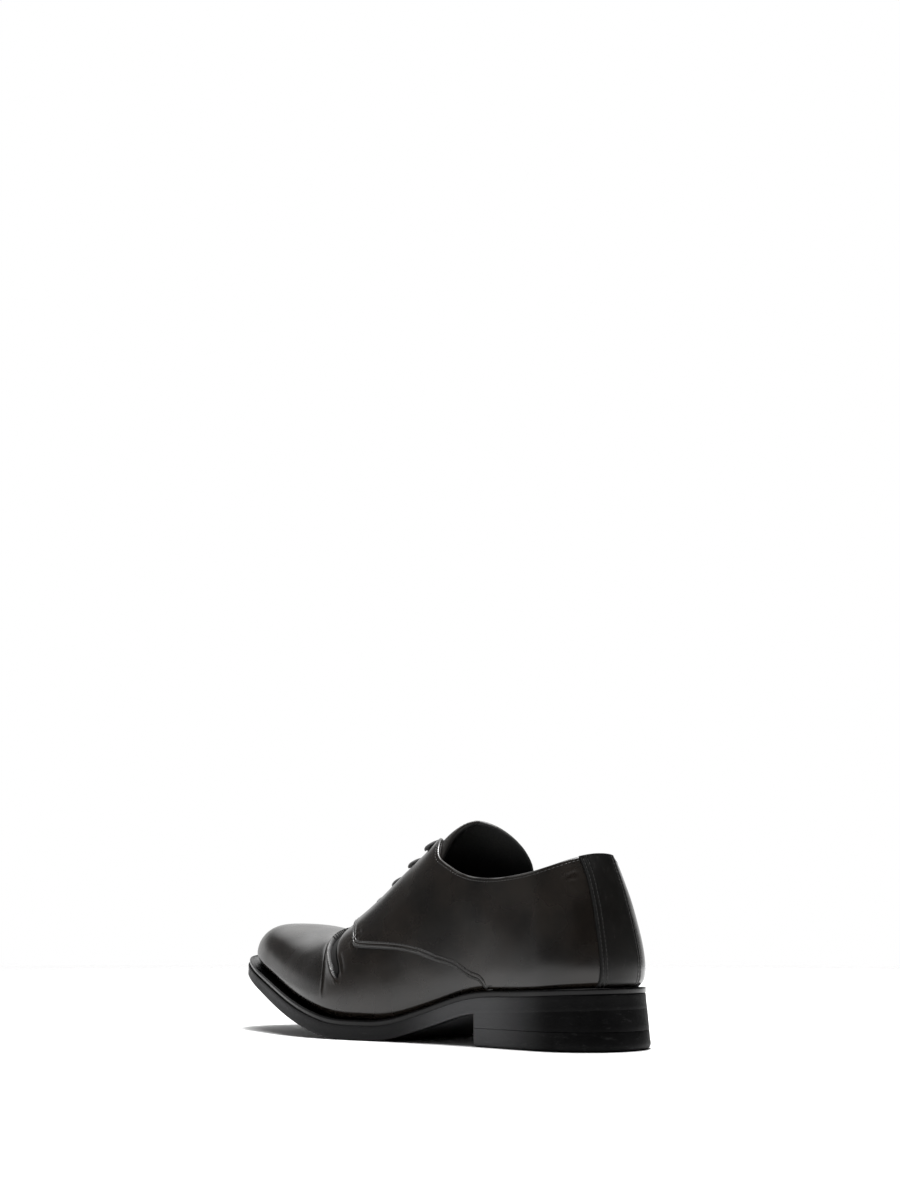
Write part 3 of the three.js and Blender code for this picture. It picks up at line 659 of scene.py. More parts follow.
@dataclass
class Patch:
    """A stretch of the last's surface between a low and a high border, as columns along the shoe.

    Attributes:
        t: station of each column.
        side: the side that t and phi start from.
        low: field that is positive above the low border, or None for the feather line.
        high: field that is positive below the high border, or None for the ridge.
        rows: rows between the edge rows.
        low_rows: distances of the extra rows from the low border.
        high_rows: distances of the extra rows from the high border.
    """

    t: Array
    side: int
    low: Field | None
    high: Field | None
    rows: int
    low_rows: tuple = (0.0,)
    high_rows: tuple = (0.0,)
    shift_low: float = 0.0
    shift_high: float = 0.0
    phi: Array = field(init=False)
    points: Array = field(init=False)
    normals: Array = field(init=False)
    above: Array = field(init=False)
    below: Array = field(init=False)

    def __post_init__(self) -> None:
        """Finds the borders of every column and spreads the rows between them."""
        steps = 420
        phis = math.pi / 2 * np.linspace(0, 1, steps + 1) ** 1.25
        dense = LAST.point(self.t[:, None], phis[None], self.side)
        arc = np.concatenate(
            [np.zeros((len(self.t), 1)), np.cumsum(np.linalg.norm(np.diff(dense, axis=1), axis=-1), axis=1)], axis=1
        )
        low = self._cross(self.low, dense, arc, True) + self.shift_low
        high = self._cross(self.high, dense, arc, False) - self.shift_high
        high = np.maximum(high, low + 0.05)
        span = high - low
        steep_low = self._steep(dense, arc, low)
        steep_high = self._steep(dense, arc, high)
        low_rows = np.array(self.low_rows)
        high_rows = np.array(self.high_rows)
        need = low_rows[-1] * steep_low + high_rows[-1] * steep_high
        fit = np.minimum(1, 0.6 * span / np.maximum(need, 1e-9))
        first = low[:, None] + low_rows[None] * (steep_low * fit)[:, None]
        last = high[:, None] - high_rows[None, ::-1] * (steep_high * fit)[:, None]
        share = np.linspace(0, 1, self.rows + 2)[1:-1]
        inner = first[:, -1:] + share[None] * (last[:, :1] - first[:, -1:])
        arcs = np.concatenate([first, inner, last], axis=1)
        self.phi = np.array([np.interp(a, row, phis) for a, row in zip(arcs, arc)])
        self.points = LAST.point(self.t[:, None], self.phi, self.side)
        self.normals = LAST.normal(self.t[:, None] + 0 * self.phi, self.phi, self.side)
        self.above = (arcs - low[:, None]) / steep_low[:, None]
        self.below = (high[:, None] - arcs) / steep_high[:, None]
        self.arcs = arcs

    def _cross(self, test: Field | None, dense: Array, arc: Array, rising: bool) -> Array:
        """Returns: arc length at which each column crosses a border."""
        if test is None:
            return arc[:, 0].copy() if rising else arc[:, -1].copy()
        value = test(dense)
        out = np.empty(len(dense))
        for i, v in enumerate(value):
            outside = np.flatnonzero(v <= 0)
            if rising:
                outside = outside[outside < len(v) * 0.97]
                if not len(outside):
                    out[i] = arc[i, 0]
                    continue
                k = outside[-1] if v[-1] > 0 or outside[-1] < len(v) - 2 else outside[-1]
                run = np.flatnonzero((v[:-1] <= 0) & (v[1:] > 0))
                k = run[0] if len(run) else min(k, len(v) - 2)
            else:
                run = np.flatnonzero((v[:-1] > 0) & (v[1:] <= 0))
                if not len(run):
                    out[i] = arc[i, -1] if v[-1] > 0 else arc[i, 0]
                    continue
                k = run[-1]
            share = v[k] / (v[k] - v[k + 1]) if v[k] != v[k + 1] else 0
            out[i] = arc[i, k] + np.clip(share, 0, 1) * (arc[i, k + 1] - arc[i, k])
        return out

    def _steep(self, dense: Array, arc: Array, at: Array) -> Array:
        """Returns: distance up a column for each unit of distance square to the border."""
        border = np.array([[np.interp(a, row, p[:, k]) for k in range(3)] for a, row, p in zip(at, arc, dense)])
        ahead = np.array([[np.interp(a + 0.5, row, p[:, k]) for k in range(3)] for a, row, p in zip(at, arc, dense)])
        behind = np.array([[np.interp(a - 0.5, row, p[:, k]) for k in range(3)] for a, row, p in zip(at, arc, dense)])
        along = unit(np.gradient(border, axis=0))
        up = unit(ahead - behind)
        turn = np.linalg.norm(np.cross(along, up), axis=-1)
        return 1 / np.clip(turn, 0.4, 1)

    def raised(self, height: Array | float, skin: bool = True) -> Array:
        """Returns: the points moved out by height, over the leather's own folds."""
        lift = SKIN.lift(self.points) if skin else 0.0
        return self.points + self.normals * (np.asarray(height) + lift)[..., None]

    def rolled(self, thickness: float, inside: float, steps: int = 8) -> Array:
        """Returns: rows that roll over the high border from the outer face to the inner one."""
        border = self.points[:, -1]
        normal = self.normals[:, -1]
        along = unit(np.gradient(border, axis=0))
        out = np.cross(along, normal)
        up = self.points[:, -1] - self.points[:, -4]
        out = out * np.sign((out * up).sum(-1, keepdims=True))
        middle = (thickness - inside) / 2
        radius = (thickness + inside) / 2
        lift = SKIN.lift(border)[:, None]
        rows = []
        for angle in np.linspace(0, math.pi, steps):
            rows.append(
                border
                + normal * (middle + radius * math.cos(angle) + lift)
                + out * (0.62 * radius * (math.sin(angle) - 1))
            )
        return np.stack(rows, 1)


def edge_height(distance: Array, thickness: float, radius: float = 0.55) -> Array:
    """Returns: height of a cut edge at a distance from it, rounded over radius."""
    d = np.clip(distance / radius, 0, 1)
    return thickness - radius * (1 - np.sqrt(1 - (1 - d) ** 2))


class Lines:
    """Borders of the upper's pieces, as fields over the last."""

    front = through(FRONT_EDGE, 200)
    top_end = 0.432 * SIZE.length

    @classmethod
    def topline(cls, p: Array) -> Array:
        """Returns: how far p lies under the topline."""
        return SIZE.collar_height * TOPLINE.at("height", p[..., 0] / SIZE.length) - p[..., 2]

    @classmethod
    def throat_half(cls, x: Array) -> Array:
        """Returns: half the gap between the facings, with a round end at its foot."""
        share = np.clip((x - cls.top_end) / (SIZE.throat_end - cls.top_end), 0, 1)
        half = (SIZE.throat_top * (1 - share) + SIZE.throat_foot * share) / 2
        radius = SIZE.throat_foot / 2
        over = np.clip((x - SIZE.throat_end + radius) / radius, 0, 1)
        return half * np.sqrt(1 - over**2)

    @classmethod
    def throat(cls, p: Array) -> Array:
        """Returns: how far p lies outside the throat."""
        return np.abs(p[..., 1] - LAST.axis(p[..., 0])) - cls.throat_half(p[..., 0])

    @classmethod
    def quarter_high(cls, p: Array) -> Array:
        """Returns: a field that is positive under the topline and outside the throat."""
        return soft_min(cls.topline(p), cls.throat(p) + 1e-3, 2.2)

    @classmethod
    def quarter_low(cls, p: Array) -> Array:
        """Returns: a field that is positive above the quarters' seam and behind their front edge."""
        x = p[..., 0]
        seam = p[..., 2] - SIZE.instep_height * SEAM.at("height", x / SIZE.length)
        reach = np.interp(x, cls.front[:, 0], cls.front[:, 1], left=200.0, right=-1.0)
        front = (reach - np.abs(p[..., 1] - LAST.axis(x))) * 0.75
        field_value = soft_min(seam, front, 3.0)
        return np.where(x < 0.2 * SIZE.length, 1.0, field_value)


def stations(low: float, high: float, spacing: float, dense: Sequence[tuple] = ()) -> Array:
    """Returns: values of t from low to high, spaced in millimetres, closer inside the dense stretches.

    Args:
        low: first t.
        high: last t.
        spacing: millimetres between stations.
        dense: (from x, to x, share of the spacing).
    """
    fine = np.linspace(low, high, 4000)
    x = np.interp(np.abs(fine), LAST.t, LAST.x)
    weight = np.ones_like(fine)
    for start, stop, share in dense:
        inside = smooth(x, start - 6, start) * (1 - smooth(x, stop, stop + 6))
        weight = weight * (1 - inside) + inside / share
    total = np.concatenate([[0], np.cumsum((weight[1:] + weight[:-1]) / 2)])
    count = max(int(total[-1] / total[-1] * (high - low) * LAST.run * weight.mean() / spacing), 4)
    return np.interp(np.linspace(0, total[-1], count + 1), total, fine)


class Nodes:
    """A small hand for shader trees."""

    def __init__(self, name: str) -> None:
        """Args: name: the material's name."""
        self.material = bpy.data.materials.new(name)
        self.material.use_nodes = True
        self.tree = self.material.node_tree
        self.tree.nodes.clear()
        self.out = self.tree.nodes.new("ShaderNodeOutputMaterial")
        self.shader = self.tree.nodes.new("ShaderNodeBsdfPrincipled")
        self.link(self.shader.outputs["BSDF"], self.out.inputs["Surface"])
        self.coords = self.tree.nodes.new("ShaderNodeTexCoord")

    def link(self, a: bpy.types.NodeSocket, b: bpy.types.NodeSocket) -> None:
        """Joins two sockets."""
        self.tree.links.new(a, b)

    def add(self, kind: str, values: dict | None = None, **settings: object) -> bpy.types.Node:
        """Adds a node with settings, and with input values or links by name or index."""
        node = self.tree.nodes.new(kind)
        for key, value in settings.items():
            setattr(node, key, value)
        for key, value in (values or {}).items():
            if isinstance(value, bpy.types.NodeSocket):
                self.link(value, node.inputs[key])
            else:
                node.inputs[key].default_value = value
        return node

    def mapped(self, scale: Sequence[float], source: str = "Object") -> bpy.types.NodeSocket:
        """Returns: coordinates times scale."""
        node = self.add("ShaderNodeMapping", {"Vector": self.coords.outputs[source], "Scale": scale})
        return node.outputs["Vector"]

    def noise(self, scale: float, detail: float = 3, rough: float = 0.5, stretch: Sequence[float] = (1, 1, 1),
              source: str = "Object") -> bpy.types.NodeSocket:
        """Returns: noise from 0 to 1."""
        values = {"Vector": self.mapped(stretch, source), "Scale": scale, "Detail": detail, "Roughness": rough}
        return self.add("ShaderNodeTexNoise", values).outputs["Fac"]

    def remap(self, value: bpy.types.NodeSocket, low: float, high: float, to_low: float = 0, to_high: float = 1,
              ease: bool = True) -> bpy.types.NodeSocket:
        """Returns: value taken from one range to another."""
        values = {"Value": value, "From Min": low, "From Max": high, "To Min": to_low, "To Max": to_high}
        kind = "SMOOTHSTEP" if ease else "LINEAR"
        return self.add("ShaderNodeMapRange", values, interpolation_type=kind).outputs["Result"]

    def math(self, operation: str, a: object, b: object = 0.0) -> bpy.types.NodeSocket:
        """Returns: the result of a math node."""
        return self.add("ShaderNodeMath", {0: a, 1: b}, operation=operation).outputs[0]

    def mix(self, factor: object, a: object, b: object) -> bpy.types.NodeSocket:
        """Returns: a mix of two colours."""
        node = self.add("ShaderNodeMix", {"Factor": factor}, data_type="RGBA")
        for value, socket in ((a, node.inputs[6]), (b, node.inputs[7])):
            if isinstance(value, bpy.types.NodeSocket):
                self.link(value, socket)
            else:
                socket.default_value = (*value, 1)
        return node.outputs[2]

    def bump(self, height: bpy.types.NodeSocket, depth: float, strength: float = 1.0,
             normal: bpy.types.NodeSocket | None = None) -> bpy.types.NodeSocket:
        """Returns: a normal bumped by height times depth, in metres."""
        values = {"Height": height, "Distance": depth, "Strength": strength}
        if normal is not None:
            values["Normal"] = normal
        return self.add("ShaderNodeBump", values).outputs["Normal"]

    def set(self, **values: object) -> None:
        """Sets or links the shader's inputs; an underscore in a name stands for a space."""
        for key, value in values.items():
            socket = self.shader.inputs[key.replace("_", " ")]
            if isinstance(value, bpy.types.NodeSocket):
                self.link(value, socket)
            else:
                socket.default_value = (*value, 1) if isinstance(value, tuple) and len(value) == 3 else value


@dataclass(frozen=True)
class UpperLeather:
    """Dark burnished calf with a waxed finish.

    Attributes:
        name: the material's name.
        dark: colour where it is burnished.
        light: colour where the wax has rubbed thin.
        rough: roughness.
        coat: weight of the wax.
        shine: specular level.
        scuffs: how much its face is scuffed.
        across: where stitch channels run, in millimetres along the uv map's first axis.
        down: where they run along its second axis.
    """

    name: str
    dark: tuple = (0.0042, 0.0036, 0.0031)
    light: tuple = (0.012, 0.0092, 0.0072)
    rough: float = 0.25
    coat: float = 0.12
    shine: float = 0.4
    scuffs: float = 0.0
    across: tuple = ()
    down: tuple = ()

    def build(self) -> bpy.types.Material:
        """Returns: the material."""
        n = Nodes(self.name)
        tone = n.remap(n.noise(34, 4, 0.55), 0.35, 0.68)
        fine = n.remap(n.noise(900, 3, 0.6), 0.3, 0.75)
        colour = n.mix(tone, self.dark, self.light)
        colour = n.mix(n.math("MULTIPLY", fine, 0.25), colour, self.light)
        rough = n.remap(n.noise(48, 3, 0.5), 0.3, 0.7, self.rough - 0.03, self.rough + 0.05)
        if self.scuffs:
            patchy = n.remap(n.noise(420, 6, 0.75, (1.0, 1.8, 0.6)), 0.56, 0.72)
            colour = n.mix(n.math("MULTIPLY", patchy, self.scuffs), colour, (0.07, 0.066, 0.06))
            rough = n.math("ADD", rough, n.math("MULTIPLY", patchy, 0.2))
        cells = n.add("ShaderNodeTexVoronoi", {"Vector": n.mapped((1, 1, 1)), "Scale": 1250.0}, feature="SMOOTH_F1")
        pores = n.remap(cells.outputs["Distance"], 0.0, 0.75, 0, 1)
        wrinkle = n.noise(260, 4, 0.55, (0.45, 0.45, 1.0))
        dent = n.noise(42, 2, 0.35)
        normal = n.bump(dent, 0.0012, 0.2)
        normal = n.bump(wrinkle, 0.00006, 0.3, normal)
        normal = n.bump(pores, 0.000015, 0.3, normal)
        # Painted shade: deep in the crease the leather turns almost black and duller, by the crease attribute.
        crease = n.add("ShaderNodeAttribute", attribute_name="crease").outputs["Fac"]
        colour = n.mix(crease, colour, (0.0008, 0.0008, 0.0008))
        rough = n.math("ADD", rough, n.math("MULTIPLY", crease, 0.6))
        channel = self._channels(n)
        # Near the cut edges the colour turns almost black: partly edge ink, partly painted shade that keeps the edges
        # from catching light.
        if self.across:
            parts = n.add("ShaderNodeSeparateXYZ", {0: n.coords.outputs["UV"]})
            edge_ink_and_shade = n.math("MULTIPLY", n.remap(n.math("ABSOLUTE", parts.outputs["X"]), 0.35, 0.75, 1, 0), 0.9)
            colour = n.mix(edge_ink_and_shade, colour, (0.001, 0.001, 0.001))
            rough = n.math("ADD", rough, n.math("MULTIPLY", edge_ink_and_shade, 0.45))
        # Painted shade: the stitch channels are darkened in colour as well as sunk by the bump.
        if channel is not None:
            colour = n.mix(n.math("MULTIPLY", channel, 0.75), colour, (0.002, 0.002, 0.002))
            normal = n.bump(n.math("MULTIPLY", channel, -1.0), 0.0004, 0.9, normal)
        n.set(Base_Color=colour, Roughness=rough, Normal=normal, Coat_Normal=normal)
        n.set(Coat_Weight=self.coat, Coat_Roughness=0.22, Specular_IOR_Level=self.shine)
        return n.material

    def _channels(self, n: Nodes) -> bpy.types.NodeSocket | None:
        """Returns: 1 in the stitch channels and 0 off them."""
        parts = n.add("ShaderNodeSeparateXYZ", {0: n.coords.outputs["UV"]})
        out = None
        for axis, rows in (("X", self.across), ("Y", self.down)):
            for row in rows:
                gap = n.math("ABSOLUTE", n.math("SUBTRACT", parts.outputs[axis], row))
                line = n.remap(gap, 0.1, 0.62, 1, 0)
                out = line if out is None else n.math("MAXIMUM", out, line)
        return out


@dataclass(frozen=True)
class Plain:
    """A lining leather, sole rubber or edge finish.

    Attributes:
        name: the material's name.
        dark: colour in the hollows.
        light: colour where it is rubbed.
        rough: roughness.
        grain: size of its grain, for each metre.
        depth: depth of the grain, in metres.
        stretch: how the grain is drawn out.
        scuff: how much it is scuffed.
        shine: specular level.
        painted_light: paler stretches of painted light, each from one x to another in metres, with its colour.
    """

    name: str
    dark: tuple
    light: tuple
    rough: float
    grain: float = 700.0
    depth: float = 0.00008
    stretch: tuple = (1.0, 1.0, 1.0)
    scuff: float = 0.0
    shine: float = 0.5
    painted_light: tuple = ()

    def build(self) -> bpy.types.Material:
        """Returns: the material."""
        n = Nodes(self.name)
        tone = n.remap(n.noise(60, 5, 0.6, self.stretch), 0.35, 0.7)
        colour = n.mix(tone, self.dark, self.light)
        # Painted light: along each stretch the colour turns to its paler colour, from its start to its end in x, and
        # stays so beyond.
        for start, stop, paler in self.painted_light:
            parts = n.add("ShaderNodeSeparateXYZ", {0: n.coords.outputs["Object"]})
            near = n.remap(parts.outputs["X"], start, stop)
            colour = n.mix(near, colour, paler)
        grain = n.noise(self.grain, 4, 0.6, self.stretch)
        rough = n.remap(grain, 0.3, 0.7, self.rough - 0.06, self.rough + 0.08)
        normal = n.bump(grain, self.depth, 0.8)
        if self.scuff:
            rubs = n.remap(n.noise(150, 6, 0.75, (1.0, 1.0, 3.0)), 0.56, 0.7)
            colour = n.mix(n.math("MULTIPLY", rubs, self.scuff), colour, (0.1, 0.1, 0.1))
            normal = n.bump(rubs, 0.0001, 0.5, normal)
        n.set(Base_Color=colour, Roughness=rough, Normal=normal, Specular_IOR_Level=self.shine)
        return n.material


@dataclass(frozen=True)
class LaceCotton:
    """Waxed cotton braid, read from the lace's own uv in millimetres."""

    name: str = "lace_cotton"
    colour: tuple = (0.012, 0.012, 0.012)
    pitch: float = 1.1

    def build(self) -> bpy.types.Material:
        """Returns: the material."""
        n = Nodes(self.name)
        one = n.add("ShaderNodeTexWave", {"Vector": n.mapped((1, 1, 1), "UV"), "Scale": 0.5 / self.pitch},
                    wave_type="BANDS", bands_direction="DIAGONAL")
        two = n.add("ShaderNodeTexWave", {"Vector": n.mapped((1, -1, 1), "UV"), "Scale": 0.5 / self.pitch},
                    wave_type="BANDS", bands_direction="DIAGONAL")
        weave = n.math("MAXIMUM", one.outputs["Fac"], two.outputs["Fac"])
        colour = n.mix(weave, tuple(c * 0.5 for c in self.colour), tuple(c * 2.2 for c in self.colour))
        normal = n.bump(weave, 0.00025, 0.8)
        n.set(Base_Color=colour, Roughness=0.62, Normal=normal, Sheen_Weight=0.15)
        return n.material


@dataclass(frozen=True)
class Finishes:
    """Every material of the shoe, made once."""

    leather: bpy.types.Material
    quarter: bpy.types.Material
    strip: bpy.types.Material
    hollow: bpy.types.Material
    lining: bpy.types.Material
    tongue: bpy.types.Material
    sole: bpy.types.Material
    welt: bpy.types.Material
    heel: bpy.types.Material
    lift: bpy.types.Material
    sock: bpy.types.Material
    lace: bpy.types.Material
    thread: bpy.types.Material

    @classmethod
    def make(cls) -> "Finishes":
        """Returns: the finishes."""
        return cls(
            leather=UpperLeather("calf").build(),
            quarter=UpperLeather("calf_quarter", across=(1.2, 3.1)).build(),
            # Painted shade: the strip's calf is a darker copy of the upper's, so the back of the heel reads darker;
            # its scuffs are random.
            strip=UpperLeather("calf_strip", (0.002, 0.0018, 0.0016), (0.005, 0.0045, 0.004), scuffs=0.3, rough=0.38,
                               coat=0.05, shine=0.25, across=(1.2, 3.1)).build(),
            # Near-black, dull material for the deepest faces of the main crease: painted shade.
            hollow=Plain("crease_painted_shade", (0.0006, 0.0006, 0.0006), (0.0015, 0.0014, 0.0013), 0.7, shine=0.06).build(),
            lining=Plain("lining_leather", (0.003, 0.003, 0.003), (0.007, 0.0065, 0.006), 0.7, 900, 0.00006).build(),
            tongue=UpperLeather("calf_tongue", rough=0.45, coat=0.05).build(),
            # Painted light on the sole: paler from the back of the heel to the heel's front, then less pale again from
            # the waist forwards.
            sole=Plain("sole_rubber", (0.0015, 0.0015, 0.0016), (0.004, 0.004, 0.0042), 0.5, 800, 0.00006,
                       scuff=0.12, shine=0.1, painted_light=((-0.13, -0.08, (0.06, 0.06, 0.062)),
                                                    (-0.06, -0.02, (0.012, 0.012, 0.0125)))).build(),
            welt=Plain("welt_rubber", (0.0012, 0.0012, 0.0013), (0.003, 0.003, 0.0032), 0.2, 900, 0.00003,
                       shine=0.2).build(),
            # Painted light on the heel block and the top lift: paler from the back of the heel to its front.
            heel=Plain("heel_stack", (0.0015, 0.0015, 0.0016), (0.004, 0.004, 0.0042), 0.5, 800, 0.00006,
                       scuff=0.12, shine=0.05, painted_light=((-0.13, -0.08, (0.066, 0.066, 0.068)),)).build(),
            lift=Plain("heel_lift", (0.0015, 0.0015, 0.0016), (0.004, 0.004, 0.0042), 0.5, 700, 0.00008,
                       scuff=0.15, shine=0.08, painted_light=((-0.13, -0.08, (0.06, 0.06, 0.062)),)).build(),
            sock=Plain("sock_leather", (0.008, 0.0075, 0.007), (0.016, 0.015, 0.014), 0.6, 800, 0.00008).build(),
            lace=LaceCotton().build(),
            thread=Plain("thread", (0.006, 0.0055, 0.005), (0.02, 0.0185, 0.016), 0.55, 4000, 0.00004).build(),
        )


class Stitcher:
    """Rows of stitches: short beads of thread set along lines, repeated by one node group."""

    def __init__(self) -> None:
        """Makes the node group and the empty list of stitches."""
        self.places: list[Array] = []
        self.turns: list[Array] = []
        self.group = self._group()

    def _group(self) -> bpy.types.GeometryNodeTree:
        """Returns: a group that puts a bead on each point, turned by its attribute."""
        g = bpy.data.node_groups.new("stitch_rows", "GeometryNodeTree")
        face = g.interface
        face.new_socket(name="Geometry", in_out="INPUT", socket_type="NodeSocketGeometry")
        face.new_socket(name="Length", in_out="INPUT", socket_type="NodeSocketFloat")
        face.new_socket(name="Thickness", in_out="INPUT", socket_type="NodeSocketFloat")
        face.new_socket(name="Thread", in_out="INPUT", socket_type="NodeSocketMaterial")
        face.new_socket(name="Geometry", in_out="OUTPUT", socket_type="NodeSocketGeometry")
        new = g.nodes.new
        link = g.links.new
        start = new("NodeGroupInput")
        stop = new("NodeGroupOutput")
        bead = new("GeometryNodeMeshUVSphere")
        bead.inputs["Segments"].default_value = 8
        bead.inputs["Rings"].default_value = 6
        bead.inputs["Radius"].default_value = 0.5
        size = new("ShaderNodeCombineXYZ")
        link(start.outputs["Length"], size.inputs["X"])
        link(start.outputs["Thickness"], size.inputs["Y"])
        link(start.outputs["Thickness"], size.inputs["Z"])
        turn = new("GeometryNodeInputNamedAttribute")
        turn.data_type = "FLOAT_VECTOR"
        turn.inputs["Name"].default_value = "turn"
        as_turn = new("FunctionNodeEulerToRotation")
        link(turn.outputs["Attribute"], as_turn.inputs["Euler"])
        put = new("GeometryNodeInstanceOnPoints")
        link(start.outputs["Geometry"], put.inputs["Points"])
        link(bead.outputs["Mesh"], put.inputs["Instance"])
        link(as_turn.outputs["Rotation"], put.inputs["Rotation"])
        link(size.outputs["Vector"], put.inputs["Scale"])
        real = new("GeometryNodeRealizeInstances")
        link(put.outputs["Instances"], real.inputs["Geometry"])
        paint = new("GeometryNodeSetMaterial")
        link(real.outputs["Geometry"], paint.inputs["Geometry"])
        link(start.outputs["Thread"], paint.inputs["Material"])
        link(paint.outputs["Geometry"], stop.inputs["Geometry"])
        return g

    def row(self, line: Array, normals: Array, pitch: float, keep: Array | None = None) -> None:
        """Adds a row.

        Args:
            line: points that it follows, in millimetres, on the leather's face.
            normals: outward normals there.
            pitch: distance between stitches.
            keep: which points of the line may carry a stitch.
        """
        run = np.concatenate([[0], np.cumsum(np.linalg.norm(np.diff(line, axis=0), axis=1))])
        at = np.arange(pitch / 2, run[-1], pitch)
        p = np.stack([np.interp(at, run, line[:, k]) for k in range(3)], -1)
        n = unit(np.stack([np.interp(at, run, normals[:, k]) for k in range(3)], -1))
        a = np.stack([np.interp(at + 0.6, run, line[:, k]) for k in range(3)], -1)
        b = np.stack([np.interp(at - 0.6, run, line[:, k]) for k in range(3)], -1)
        along = unit(a - b)
        if keep is not None:
            on = np.interp(at, run, keep.astype(float)) > 0.5
            p, n, along = p[on], n[on], along[on]
        across = unit(np.cross(n, along))
        up = np.cross(along, across)
        for origin, x, y, z in zip(p, along, across, up):
            matrix = Matrix((x, y, z)).transposed()
            self.places.append(origin)
            self.turns.append(np.array(matrix.to_euler("XYZ")))

    def build(self, name: str, length: float, thickness: float, thread: bpy.types.Material) -> bpy.types.Object:
        """Makes one object of all the rows.

        Args:
            name: the object's name.
            length: length of a stitch, in millimetres.
            thickness: thickness of the thread.
            thread: its material.
        Returns:
            The object.
        """
        mesh = bpy.data.meshes.new(name + "_points")
        mesh.from_pydata(place(np.array(self.places)).tolist(), [], [])
        turn = mesh.attributes.new("turn", "FLOAT_VECTOR", "POINT")
        turn.data.foreach_set("vector", np.array(self.turns, np.float32).ravel())
        obj = bpy.data.objects.new(name, mesh)
        bpy.context.scene.collection.objects.link(obj)
        modifier = obj.modifiers.new("stitches", "NODES")
        modifier.node_group = self.group
        values = {"Length": length * MM, "Thickness": thickness * MM, "Thread": thread}
        for item in self.group.interface.items_tree:
            if item.in_out == "INPUT" and item.name in values:
                modifier[item.identifier] = values[item.name]
        bpy.context.view_layer.update()
        made = bpy.data.meshes.new_from_object(obj.evaluated_get(bpy.context.evaluated_depsgraph_get()))
        obj.modifiers.clear()
        obj.data = made
        made.shade_smooth()
        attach(obj, "root")
        log.info("%s: %d stitches", name, len(self.places))
        self.places, self.turns = [], []
        return obj


